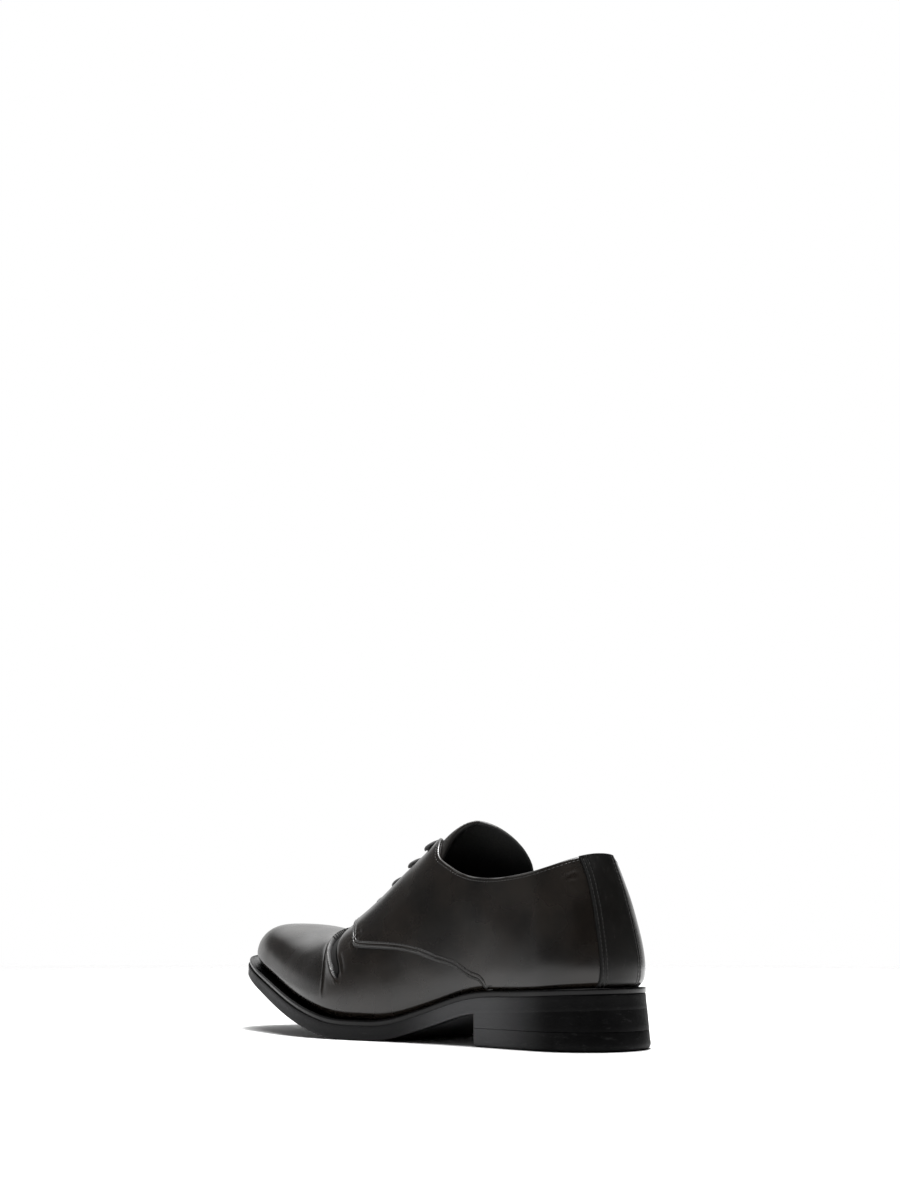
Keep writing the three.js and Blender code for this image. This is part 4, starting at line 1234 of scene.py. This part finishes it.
@dataclass
class Upper:
    """Vamp, quarters, strip down the back seam and lining."""

    finish: Finishes
    stitcher: Stitcher
    spacing: float = 0.95
    seam_rows: tuple = (1.2, 3.1)
    top_row: float = 2.3

    def build(self) -> None:
        """Makes the pieces."""
        self.vamp()
        self.quarters()
        self.strip()
        self.lining()

    def vamp(self) -> None:
        """Front of the shoe, from under the facings to the toe."""
        t = stations(LAST.t_at(57), 1.0, self.spacing, [(164, 204, 0.55)])
        piece = Piece("vamp")

        def high(p: Array) -> Array:
            under = 12 - Lines.quarter_low(p)
            return np.where(p[..., 0] < 64, 20 + LAST.feather(p[..., 0]) - p[..., 2], under)

        for side in Side:
            patch = Patch(t, side.value, None, high, 92, (0.0, 0.5, 1.1), (0.0,))
            under = self._below(patch)
            rows = np.concatenate([under, patch.raised(0)], 1)
            # Painted shade: the crease's depth goes into the crease attribute, and its deepest faces take the
            # near-black crease material.
            shade = np.concatenate([np.zeros((len(t), 1)), SKIN.shade(patch.points)], 1)
            deep = (shade[:-1, :-1] + shade[1:, 1:]).ravel() > 0.9
            piece.grid(rows, flip=side is Side.INNER, shade=shade, finish=deep.astype(int))
        piece.build(self.finish.leather, "upper", ("upper",), 2e-5, (self.finish.hollow,))

    def _below(self, patch: Patch) -> Array:
        """Returns: a row that goes down behind the welt, under the first row."""
        first = patch.points[:, :1]
        inward = -patch.normals[:, :1] * np.array([1, 1, 0])
        return first + inward * 0.8 - np.array([0, 0, 2.6])

    def quarters(self) -> None:
        """Both quarters with their facings, as one piece round the heel."""
        size = SIZE
        end = self._front_end()
        t = stations(-end, end, self.spacing, [(118, 200, 0.6)])
        rows = (0.0, 0.18, 0.4, 0.75, 1.3)
        patch = Patch(t, 1, Lines.quarter_low, Lines.quarter_high, 96, rows, (0.93, 1.4, 2.2))
        height = edge_height(patch.above, size.quarter)
        low_free = smooth(np.interp(np.abs(t), LAST.t, LAST.x), 0.2 * size.length, 0.21 * size.length)
        height = height * low_free[:, None] + size.quarter * (1 - low_free[:, None])
        outer = patch.raised(height)
        border = Patch(t, 1, Lines.quarter_low, Lines.quarter_high, 96, rows, (0.0,))
        roll = border.rolled(size.quarter, size.wall)
        sunk = patch.points[:, :1] + patch.normals[:, :1] * -0.5
        under = self._below(patch) + patch.normals[:, :1] * size.quarter
        foot = np.where(low_free[:, None, None] > 0.5, sunk, under)
        inner = border.points[:, -1:] + border.normals[:, -1:] * -size.wall
        down = border.points[:, -6:-5] + border.normals[:, -6:-5] * -size.wall
        grid = np.concatenate([foot, outer, roll, inner * 0.4 + down * 0.6], 1)
        above = np.where(low_free[:, None] > 0.5, patch.above, 99.0)
        uv = np.full((*grid.shape[:2], 2), -1.0)
        uv[:, 1 : 1 + outer.shape[1], 0] = above
        uv[:, 1 : 1 + outer.shape[1], 1] = patch.below
        uv[:, 1 + outer.shape[1] :, 0] = 99.0
        piece = Piece("quarters")
        piece.grid(grid, uv)
        piece.build(self.finish.quarter, "upper", (), 2e-6)
        self._quarter_rows(t, low_free)

    def _front_end(self) -> float:
        """Returns: t where the quarters' front edge meets the middle."""
        return LAST.t_at(195.2)

    def _quarter_rows(self, t: Array, low_free: Array) -> None:
        """Stitch rows along the quarters' seam, front edge, facings and topline."""
        x = np.interp(np.abs(t), LAST.t, LAST.x)
        for gap in self.seam_rows:
            patch = Patch(t, 1, Lines.quarter_low, Lines.quarter_high, 40, (0.0, gap), (0.0,))
            line = patch.raised(SIZE.quarter - 0.1)[:, 1]
            ok = (low_free > 0.9) & (x < 192)
            self._split(line, patch.normals[:, 1], ok, 2.2)
        patch = Patch(t, 1, Lines.quarter_low, Lines.quarter_high, 40, (0.0,), (0.0, self.top_row))
        line = patch.raised(SIZE.quarter - 0.1)[:, -2]
        self._split(line, patch.normals[:, -2], x < 189, 2.2)

    def _split(self, line: Array, normals: Array, ok: Array, pitch: float) -> None:
        """Sends each unbroken stretch of a line to the stitcher."""
        change = np.flatnonzero(np.diff(ok.astype(int)))
        cuts = np.concatenate([[0], change + 1, [len(ok)]])
        for a, b in zip(cuts[:-1], cuts[1:]):
            if ok[a] and b - a > 4:
                self.stitcher.row(line[a:b], normals[a:b], pitch)

    def strip(self) -> None:
        """The strip over the back seam."""
        size = SIZE
        reach = LAST.t_at(60)
        dense_t = np.linspace(-reach, reach, 900)
        base = Patch(dense_t, 1, None, Lines.topline, 150, (0.0,), (0.93, 1.5))
        edge = np.array([0.0, 0.2, 0.45, 0.9]) / 12.5
        across = np.concatenate([-1 + edge, np.linspace(-0.87, 0.87, 34), 1 - edge[::-1]])
        rows = base.phi.shape[1]
        height = base.points[len(dense_t) // 2, :, 2]
        half = 12.8 + 2.9 * smooth(92 - height, 0, 48)
        far = 9.2 + 1.0 * smooth(92 - height, 0, 60)
        t = np.empty((len(across), rows))
        phi = np.empty_like(t)
        for j in range(rows):
            reach_j = np.where(across > 0, half[j], far[j])
            t[:, j] = np.interp(across * reach_j, base.points[:, j, 1], dense_t)
            phi[:, j] = np.interp(t[:, j], dense_t, base.phi[:, j])
        points = LAST.point(t, phi, 1)
        normals = LAST.normal(t, phi, 1)
        lift = SKIN.lift(points)
        side = np.where(across[:, None] > 0, half[None], far[None]) * (1 - np.abs(across))[:, None]
        thick = size.quarter + edge_height(side, size.backstay, 0.4)
        outer = points + normals * (thick + lift)[..., None]
        foot_edge = outer[:1] - normals[:1] * 1.2
        last_edge = outer[-1:] - normals[-1:] * 1.2
        outer = np.concatenate([foot_edge, outer, last_edge], 0)
        below = outer[:, :1] - np.array([0, 0, 2.6]) + np.array([0.8, 0, 0])
        top = outer[:, -1:]
        n = np.concatenate([normals[:1], normals, normals[-1:]], 0)[:, -1:]
        roll = [top + np.array([0, 0, 0.75 * math.sin(a)]) - n * (1.5 * (1 - math.cos(a)))
                for a in np.linspace(0.3, math.pi, 8)]
        piece = Piece("heel_strip")
        grid = np.concatenate([below, outer, *roll], 1)
        side = np.concatenate([side[:1] * 0 - 1, side, side[-1:] * 0 - 1], 0)
        uv = np.full((*grid.shape[:2], 2), 99.0)
        uv[:, 1 : 1 + outer.shape[1], 0] = side
        piece.grid(grid, uv)
        piece.build(self.finish.strip, "upper")
        face = points + normals * (size.quarter + size.backstay + lift - 0.1)[..., None]
        for gap in self.seam_rows:
            for sign in (-1, 1):
                share = sign * (1 - gap / (half if sign > 0 else far))
                line = np.stack([[np.interp(c, across, face[:, j, k]) for k in range(3)]
                                 for j, c in enumerate(share)])
                out = np.stack([[np.interp(c, across, normals[:, j, k]) for k in range(3)]
                                for j, c in enumerate(share)])
                self.stitcher.row(line[2:-1], out[2:-1], 2.2)

    def lining(self) -> None:
        """The leather inside, from collar to toe."""
        size = SIZE
        end = self._front_end()
        piece = Piece("lining")
        t = stations(-end, end, 2.0)
        patch = Patch(t, 1, None, Lines.quarter_high, 50, (0.0, 3.0), (0.9, 1.6))
        depth = np.full(patch.phi.shape, -(size.wall + 0.2))
        depth[:, -1] += 0.5
        piece.grid(patch.points + patch.normals * depth[..., None], flip=True)
        toe = stations(end - 0.004, 1.0, 2.0)
        for side in Side:
            patch = Patch(toe, side.value, None, None, 40, (0.0, 3.0), (0.0,))
            piece.grid(patch.points - patch.normals * (size.wall + 0.2), flip=side is Side.OUTER)
        piece.build(self.finish.lining, "lining")


@dataclass
class Tongue:
    """The tongue: a soft sheet just inside the facings."""

    finish: Finishes
    stitcher: Stitcher
    across: int = 70
    along: int = 90
    flare: float = 1.3

    def build(self) -> None:
        """Makes the tongue."""
        edge = np.array([0.0, 0.12, 0.35, 0.7, 1.2])
        f = self._spread(edge / SIZE.tongue_width * 2, self.across) * 2 - 1
        front = LAST.t_at(198)
        rear = np.array([self._rear(v, front) for v in f])
        rear = np.convolve(np.pad(rear, 5, mode="edge"), np.ones(11) / 11, mode="valid")
        g = self._spread(edge / 110, self.along)
        t = front + (rear - front)[:, None] * g[None]
        phi = self._phi(t, f[:, None] + 0 * t)
        points = LAST.point(t, phi, 1)
        normals = LAST.normal(t, phi, 1)
        side = (1 - np.abs(f))[:, None] * self._half(points[..., 0])
        run = np.concatenate(
            [np.zeros((len(f), 1)), np.cumsum(np.linalg.norm(np.diff(points, axis=1), axis=-1), axis=1)], axis=1
        )
        back = run[:, -1:] - run
        distance = np.minimum(np.minimum(side, back), run)
        half = SIZE.tongue_thickness / 2
        flare = self.flare * np.exp(-(((points[..., 1] - 9) / 8) ** 2)) * smooth(back, 30, 0)
        middle = flare - (SIZE.wall + SIZE.clearance + half) - 0.05
        d = np.clip(distance / half, 0, 1)
        swell = half * np.sqrt(1 - (1 - d) ** 2)
        outer = points + normals * (middle + swell)[..., None]
        inner = points + normals * (middle - swell)[..., None]
        piece = Piece("tongue_sheet")
        piece.grid(outer, flip=True)
        piece.grid(inner, finish=1)
        piece.build(self.finish.tongue, "lining", ("tongue",), 2e-5, (self.finish.lining,))
        j = int(np.argmin(np.abs(back[len(f) // 2] - 3.0)))
        line = points + normals * (middle + half - 0.1)[..., None]
        self.stitcher.row(line[5:-5, j], normals[5:-5, j], 2.2)

    def _spread(self, edge: Array, count: int) -> Array:
        """Returns: shares from 0 to 1 with extra ones near both ends."""
        inner = np.linspace(edge[-1], 1 - edge[-1], count)[1:-1]
        return np.concatenate([edge, inner, 1 - edge[::-1]])

    def _half(self, x: Array) -> Array:
        """Returns: half the tongue's width at x."""
        table = through(TONGUE_HALF, 120)
        return np.interp(x, table[:, 0], table[:, 1])

    def _phi(self, t: Array, f: Array) -> Array:
        """Returns: phi at a share of the width, -1 at the outer edge and 1 at the inner one."""
        grid = np.linspace(0.55, math.pi / 2, 200)
        out = np.empty(t.shape)
        for k, (tt, ff) in enumerate(zip(t.ravel(), f.ravel())):
            p = LAST.point(tt, grid, 1 if ff < 0 else -1)
            y = np.abs(p[:, 1] - LAST.axis(p[:, 0]))
            goal = abs(ff) * float(self._half(p[-1, 0]))
            angle = np.interp(-goal, -y, grid)
            out.ravel()[k] = angle if ff < 0 else math.pi - angle
        return out

    def _rear(self, f: float, front: float) -> float:
        """Returns: t at the tongue's back edge, for one share of the width."""
        line = through(TONGUE_BACK, 200)
        order = np.argsort(line[:, 1])
        t = np.linspace(front, 0.12, 260)
        phi = self._phi(t, np.full_like(t, f))
        p = LAST.point(t, phi, 1)
        back = np.interp(p[:, 2], line[order, 1], line[order, 0])
        rear = np.array(TONGUE_OUTER_BACK)
        back = np.maximum(back, np.interp(p[:, 1], rear[:, 0], rear[:, 1], left=0.0))
        gone = np.flatnonzero(p[:, 0] < back)
        gone = gone[gone > 60]
        return float(t[gone[0]]) if len(gone) else float(t[-1])


@dataclass
class Laces:
    """Four crossings of a flat lace over the facings, with their ends down in the eyelets."""

    finish: Finishes
    widths: tuple = (7.6, 7.0, 5.8, 5.2)
    arches: tuple = (0.7, 0.5, 0.1, -0.2)
    thickness: float = 2.6
    over: float = 4.4

    def build(self) -> None:
        """Makes the crossings."""
        for row in range(SIZE.lace_rows):
            self.bar(row)

    def _skin(self, x: float, y: Array) -> tuple[Array, Array]:
        """Returns: points and normals of the quarters' face above (x, y)."""
        t = LAST.t_at(x)
        grid = np.linspace(0.4, math.pi - 0.4, 500)
        p = LAST.point(t, grid, 1)
        phi = np.interp(-y, -p[:, 1], grid)
        n = LAST.normal(np.full_like(phi, t), phi, 1)
        return LAST.point(t, phi, 1) + n * SIZE.quarter, n

    def bar(self, row: int) -> None:
        """Makes one crossing. Args: row: 0 at the foot of the throat."""
        size = SIZE
        x = size.lace_front + (size.lace_back - size.lace_front) * row / (size.lace_rows - 1)
        share = np.clip((x - Lines.top_end) / (size.throat_end - Lines.top_end), 0, 1)
        reach = (size.throat_top * (1 - share) + size.throat_foot * share) / 2 + self.over
        middle = float(LAST.axis(x))
        v = np.linspace(-1, 1, 61)
        y = middle + reach * np.clip(v * 1.22, -1, 1)
        skin, normal = self._skin(x, y)
        beyond = np.clip((np.abs(v) - 0.74) / 0.26, 0, 1)
        width = self.widths[row]
        height = 0.2 + self.thickness / 2 + self.arches[row] * (1 - smooth(np.abs(v), 0.35, 0.85))
        drop = height - 5.2 * smooth(beyond, 0.0, 1.0) * beyond
        centre = skin + normal * drop[:, None]
        along = unit(np.gradient(centre, axis=0))
        across = unit(np.cross(along, normal) + 1e-9)
        up = unit(np.cross(across, along))
        narrow = 1 - 0.45 * smooth(np.abs(v), 0.62, 0.95)
        angles = np.linspace(0, 2 * math.pi, 25)[:-1]
        c, s = np.cos(angles), np.sin(angles)
        wide = np.sign(c) * np.abs(c) ** 0.9
        tall = np.sign(s) * np.abs(s) ** 0.95
        ring = (
            centre[:, None]
            + across[:, None] * (wide[None] * width / 2 * narrow[:, None])[..., None]
            + up[:, None] * (tall[None] * self.thickness / 2)[..., None]
        )
        ring = np.concatenate([ring, ring[:, :1]], 1)
        run = np.concatenate([[0], np.cumsum(np.linalg.norm(np.diff(centre, axis=0), axis=1))])
        girth = np.linspace(0, 2 * (width + self.thickness), ring.shape[1])
        uv = np.stack(np.broadcast_arrays(run[:, None], girth[None]), -1)
        piece = Piece(f"lace_cross_{row + 1}")
        piece.grid(ring, uv)
        piece.fan(ring[0, :-1], flip=True)
        piece.fan(ring[-1, :-1])
        piece.build(self.finish.lace, "lace", (f"lace_bar_{row + 1}",))


@dataclass
class Bottom:
    """Outsole, welt, heel stack, top lift and the sock inside."""

    finish: Finishes
    stations: int = 620
    rear: float = 1.2

    def build(self) -> None:
        """Makes the pieces."""
        self.outsole()
        self.welt()
        self.heel()
        self.sock()

    def _ring(self, t: Array, grow: Callable[[Array], Array], height: Callable[[Array], Array]) -> Array:
        """Returns: one ring round the shoe."""
        x = np.interp(np.abs(t), LAST.t, LAST.x)
        plan = LAST.outline(t, grow(x))
        return np.concatenate([plan, height(plan[:, 0])[:, None]], 1)

    def _layer(self, name: str, material: bpy.types.Material, slot: str, node: str,
               rings: Sequence[tuple]) -> bpy.types.Object:
        """Makes a full layer from rings of (grow, height), from its underside up."""
        half = np.linspace(0, 1, self.stations + 1)
        t = np.concatenate([-half[::-1], half[1:-1]])
        grid = np.stack([self._ring(t, *ring) for ring in rings], 1)
        run = np.abs(t) * LAST.run
        uv = np.stack(np.broadcast_arrays(run[:, None], grid[..., 2]), -1)
        piece = Piece(name)
        piece.grid(grid, uv, wrap=True, flip=True)
        for index, flip in ((0, True), (-1, False)):
            ring = grid[:, index]
            outer = ring[self.stations :]
            outer = np.vstack([outer, ring[:1]])
            inner = ring[: self.stations + 1][::-1]
            share = np.linspace(0, 1, 9)
            cap = outer[:, None] * (1 - share[None, :, None]) + inner[:, None] * share[None, :, None]
            piece.grid(cap, flip=flip)
        return piece.build(material, slot, (node,), 2e-6)

    @staticmethod
    def _corner(grow: Callable[[Array], Array], height: Callable[[Array], Array], radius: float, top: bool,
                heel_radius: float | None = None, steps: int = 5) -> list:
        """Returns: rings of a rounded corner at the top or the foot of a side, with its own radius at the heel."""
        rear = radius if heel_radius is None else heel_radius

        def size(x: Array) -> Array:
            return rear + (radius - rear) * smooth(x, SIZE.heel_length - 1, SIZE.heel_length + 5)

        rings = []
        for a in np.linspace(0, math.pi / 2, steps):
            inset = 1 - math.cos(a) if top else 1 - math.sin(a)
            drop = math.sin(a) - 1 if top else 1 - math.cos(a)
            rings.append((lambda x, i=inset: grow(x) - i * size(x), lambda x, d=drop: height(x) + d * size(x)))
        return rings

    def outsole(self) -> None:
        """The sole, with a soft bead along its upper edge."""
        def lean(x: Array, share: float) -> Array:
            return (SIZE.welt_setback * share - self.rear) * self._rearward(x)

        rings = self._corner(lambda x: LAST.margin(x) - lean(x, 0), LAST.sole_foot, 0.9, False, 0.01)
        for share in (0.25, 0.5, 0.72):
            rings.append((
                lambda x, s=share: LAST.margin(x) - 0.1 * math.sin(math.pi * s) - lean(x, s),
                lambda x, s=share: LAST.sole_foot(x) * (1 - s) + LAST.sole_top(x) * s,
            ))
        rings += self._corner(lambda x: LAST.margin(x) - lean(x, 1), LAST.sole_top, 0.5, True)
        self._layer("outsole_rubber", self.finish.sole, "sole", "outsole", rings)

    def welt(self) -> None:
        """The welt, a little inside the sole's edge."""
        size = SIZE

        def grow(x: Array) -> Array:
            return LAST.margin(x) - size.welt_setback + (self.rear + 0.5) * self._rearward(x)

        rings = [(lambda x: grow(x) - 0.4, lambda x: LAST.sole_top(x) + 0.05)]
        rings += [(grow, lambda x: LAST.sole_top(x) + 0.5)]
        rings += self._corner(grow, LAST.welt_top, 0.6, True)
        self._layer("welt_strip", self.finish.welt, "edge", "welt", rings)

    @staticmethod
    def _rearward(x: Array) -> Array:
        """Returns: 1 at the back of the heel, dying away forwards."""
        return np.maximum(0, 1 - x / (2 * SIZE.heel_round)) ** 2

    def _heel_grow(self, share: float, inset: float) -> Callable[[Array], Array]:
        """Returns: how far the heel stands out, share 0 at its top and 1 at the floor."""
        def grow(x: Array) -> Array:
            reach = self.rear + (SIZE.heel_flare - self.rear) * share
            return LAST.margin(x) - inset + reach * self._rearward(x)

        return grow

    def _block(self, name: str, material: bpy.types.Material, slot: str, node: str, rings: Sequence[tuple]) -> None:
        """Makes a heel layer with a flat front face."""
        size = SIZE
        stop = LAST.t_at(size.heel_length)
        t = np.linspace(-stop, stop, 321)
        grid = []
        for grow, height in rings:
            ring = self._ring(t, grow, height)
            ring[:, 0] = np.minimum(ring[:, 0], size.heel_length)
            grid.append(ring)
        grid = np.stack(grid, 1)
        uv = np.stack(np.broadcast_arrays((t * LAST.run)[:, None], grid[..., 2]), -1)
        piece = Piece(name)
        piece.grid(grid, uv, flip=True)
        share = np.linspace(0, 1, 7)
        face = grid[-1][None] * (1 - share[:, None, None]) + grid[0][None] * share[:, None, None]
        piece.grid(face, flip=True)
        for index, flip in ((0, True), (-1, False)):
            ring = grid[:, index]
            outer = ring[160:]
            inner = ring[:161][::-1]
            cap = outer[:, None] * (1 - share[None, :, None]) + inner[:, None] * share[None, :, None]
            piece.grid(cap, flip=flip)
        obj = piece.build(material, slot, (node,), 2e-6)
        crease = obj.modifiers.new("edges", "EDGE_SPLIT")
        crease.split_angle = math.radians(40)

    def heel(self) -> None:
        """Heel stack with its faint joint, and the top lift."""
        size = SIZE
        turn = 1 - size.top_lift / size.seat_height
        low = size.top_lift + size.clearance

        def top(x: Array) -> Array:
            return LAST.sole_foot(x)

        rings = [
            (self._heel_grow(turn, 0.25), lambda x: low - 0.25 + 0 * x),
            (self._heel_grow(turn, 0.05), lambda x: low - 0.05 + 0 * x),
            (self._heel_grow(turn, 0.0), lambda x: low + 0.15 + 0 * x),
        ]
        for share in (0.25, 0.5, 0.75):
            rings.append((self._heel_grow(turn * (1 - share), 0.0), lambda x, s=share: low + (top(x) - low) * s))
        rings.append((self._heel_grow(0.0, 0.0), lambda x: top(x) + 0.02))
        self._block("heel_block", self.finish.heel, "sole", "heel_stack", rings)
        rings = [
            (self._heel_grow(1.0, 2.6), lambda x: 0 * x),
            (self._heel_grow(1.0, 1.3), lambda x: 0.35 + 0 * x),
            (self._heel_grow(1.0, 0.5), lambda x: 1.1 + 0 * x),
            (self._heel_grow(1.0, 0.1), lambda x: 2.3 + 0 * x),
            (self._heel_grow(0.95, 0.0), lambda x: 3.4 + 0 * x),
            (self._heel_grow((1 + turn) / 2, 0.0), lambda x: size.top_lift / 2 + 0 * x),
            (self._heel_grow(turn, 0.0), lambda x: size.top_lift - 0.3 + 0 * x),
            (self._heel_grow(turn, 0.3), lambda x: size.top_lift + 0.02 + 0 * x),
        ]
        self._block("heel_tip", self.finish.lift, "edge", "top_lift", rings)

    def sock(self) -> None:
        """The sock over the insole, a little crowned."""
        size = SIZE
        t = np.linspace(0, 1, 200)
        inset = -(size.wall + size.clearance + 0.4)
        outer = LAST.outline(t, np.full_like(t, inset))
        inner = LAST.outline(-t, np.full_like(t, inset))
        share = np.linspace(0, 1, 25)
        plan = outer[:, None] * (1 - share[None, :, None]) + inner[:, None] * share[None, :, None]
        height = LAST.feather(plan[..., 0]) + size.insole_thickness + 0.5 * (1 - (2 * share[None] - 1) ** 4)
        top = np.concatenate([plan, height[..., None]], -1)
        edge = top[:, :1] - np.array([0, 0, 3.0])
        other = top[:, -1:] - np.array([0, 0, 3.0])
        piece = Piece("sock")
        piece.grid(np.concatenate([edge, top, other], 1), flip=False)
        piece.build(self.finish.sock, "lining", ("insole",))


@dataclass(frozen=True)
class Studio:
    """Pale floor, soft lights and the camera at the photograph's angle.

    Attributes:
        yaw: turn away from a pure side view, in degrees.
        pitch: upward tilt.
        distance: from the shoe's own origin to the camera, along its level direction, in millimetres.
        height: of the camera above the floor.
        left: how far the picture's middle lies along the screen from the shoe's own origin.
        focal: in pixels of the 900 by 1200 picture.
        surround: how much light the walls give.
        backdrop: how much the lit screen behind the shoe gives.
        sweep: how much the white paper gives that runs on from the floor.
    """

    yaw: float = 46.88
    pitch: float = 11.94
    distance: float = 800.0
    height: float = 56.2
    left: float = 87.6
    focal: float = 1578.5
    surround: float = 0.02
    backdrop: float = 1.4
    sweep: float = 0.78

    def build(self) -> None:
        """Makes them all."""
        self.camera()
        self.floor()
        self.lights()

    def camera(self) -> None:
        """Sets the camera."""
        a = math.radians(self.yaw)
        c, n = math.cos(a), math.sin(a)
        own = np.array([self.left * c - self.distance * n, self.left * n + self.distance * c, self.height])
        data = bpy.data.cameras.new("camera")
        data.sensor_width = 36
        data.lens = self.focal * 36 / 1200
        data.clip_start = 0.01
        obj = bpy.data.objects.new("camera", data)
        obj.location = Vector(place(own))
        p = math.radians(self.pitch)
        look = Vector((n * math.cos(p), -c * math.cos(p), math.sin(p)))
        obj.rotation_euler = look.to_track_quat("-Z", "Y").to_euler()
        bpy.context.scene.collection.objects.link(obj)
        bpy.context.scene.camera = obj

    def floor(self) -> None:
        """Lays the floor, which fades into the white surround far from the shoe."""
        ring = np.concatenate([[0.0], np.geomspace(0.3, 9.0, 20)])
        turn = np.linspace(0, 2 * math.pi, 65)[:-1]
        verts = [(r * math.cos(a), r * math.sin(a), 0.0) for a in turn for r in ring]
        mesh = bpy.data.meshes.new("floor")
        mesh.from_pydata(verts, [], [tuple(dict.fromkeys(f)) for f in quads(len(turn), len(ring), True).tolist()])
        n = Nodes("floor_paper")
        n.set(Base_Color=(0.92, 0.92, 0.92), Roughness=0.8, Specular_IOR_Level=0.1)
        far = n.add("ShaderNodeVectorMath", {0: n.coords.outputs["Object"]}, operation="LENGTH").outputs["Value"]
        clear = n.add("ShaderNodeBsdfTransparent")
        mix = n.add("ShaderNodeMixShader", {0: n.remap(far, 0.9, 2.4)})
        n.link(n.shader.outputs[0], mix.inputs[1])
        n.link(clear.outputs[0], mix.inputs[2])
        n.link(mix.outputs[0], n.out.inputs["Surface"])
        mesh.materials.append(n.material)
        obj = bpy.data.objects.new("floor", mesh)
        bpy.context.scene.collection.objects.link(obj)

    def lights(self) -> None:
        """Hangs the lights and sets the surround: white to the eye, dim as a light."""
        world = bpy.data.worlds.new("surround")
        world.use_nodes = True
        tree = world.node_tree
        tree.nodes.clear()
        out = tree.nodes.new("ShaderNodeOutputWorld")
        mix = tree.nodes.new("ShaderNodeMixShader")
        path = tree.nodes.new("ShaderNodeLightPath")
        seen = tree.nodes.new("ShaderNodeBackground")
        seen.inputs["Color"].default_value = (1, 1, 1, 1)
        seen.inputs["Strength"].default_value = 1.0
        lit = tree.nodes.new("ShaderNodeBackground")
        lit.inputs["Color"].default_value = (1, 1, 1, 1)
        around = tree.nodes.new("ShaderNodeTexCoord").outputs["Generated"]

        def math_node(operation: str, a: object, b: object) -> bpy.types.NodeSocket:
            node = tree.nodes.new("ShaderNodeMath")
            node.operation = operation
            for value, socket in ((a, node.inputs[0]), (b, node.inputs[1])):
                if isinstance(value, float):
                    socket.default_value = value
                else:
                    tree.links.new(value, socket)
            return node.outputs[0]

        def toward(azimuth: float, elevation: float) -> bpy.types.NodeSocket:
            node = tree.nodes.new("ShaderNodeVectorMath")
            node.operation = "DOT_PRODUCT"
            tree.links.new(around, node.inputs[0])
            a = math.radians(azimuth)
            e = math.radians(elevation)
            node.inputs[1].default_value = (math.cos(e) * math.cos(a), math.cos(e) * math.sin(a), math.sin(e))
            return node.outputs["Value"]

        def step(value: bpy.types.NodeSocket, low: float, high: float, start: float, stop: float) -> object:
            node = tree.nodes.new("ShaderNodeMapRange")
            node.interpolation_type = "SMOOTHSTEP"
            tree.links.new(value, node.inputs["Value"])
            for name, number in (("From Min", low), ("From Max", high), ("To Min", start), ("To Max", stop)):
                node.inputs[name].default_value = number
            return node.outputs["Result"]

        screen = step(toward(-40, 45), 0.86, 0.965, 0.0, self.backdrop)
        rise = math_node("SUBTRACT", toward(0, 90), math_node("MULTIPLY", toward(-40, 0), 0.22))
        paper = step(rise, 0.03, 0.2, self.sweep + 0.12, 0.12)
        front = math_node("MULTIPLY", paper, step(toward(20, 0), -0.45, 0.0, 0.0, 1.0))
        total = math_node("ADD", math_node("ADD", screen, front), self.surround)
        tree.links.new(total, lit.inputs["Strength"])
        tree.links.new(path.outputs["Is Camera Ray"], mix.inputs[0])
        tree.links.new(lit.outputs[0], mix.inputs[1])
        tree.links.new(seen.outputs[0], mix.inputs[2])
        tree.links.new(mix.outputs[0], out.inputs["Surface"])
        bpy.context.scene.world = world
        self._lamp("top", (-0.1, -0.2, 2.6), (-0.05, 0.0, 0.0), 2.0, 2.0, 78)
        self._lamp("key", (0.05, -0.15, 2.4), (0.0, 0.0, 0.0), 0.35, 0.35, 42)
        bpy.context.scene.view_settings.view_transform = "Standard"

    def _lamp(self, name: str, at: tuple, to: tuple, wide: float, tall: float, power: float) -> None:
        """Hangs one soft light."""
        data = bpy.data.lights.new(name, "AREA")
        data.shape = "RECTANGLE"
        data.size = wide
        data.size_y = tall
        data.energy = power
        obj = bpy.data.objects.new(name, data)
        obj.location = at
        obj.rotation_euler = (Vector(to) - Vector(at)).to_track_quat("-Z", "Y").to_euler()
        bpy.context.scene.collection.objects.link(obj)


class Shoe:
    """The whole shoe over its frame."""

    def build(self) -> None:
        """Makes every piece."""
        finish = Finishes.make()
        stitcher = Stitcher()
        Upper(finish, stitcher).build()
        Tongue(finish, stitcher).build()
        Laces(finish).build()
        Bottom(finish).build()
        stitcher.build("stitches", 1.9, 0.55, finish.thread)
        Studio().build()


def main() -> None:
    """Builds the scene."""
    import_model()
    Shoe().build()
    bpy.context.view_layer.update()


if __name__ == "__main__":
    main()
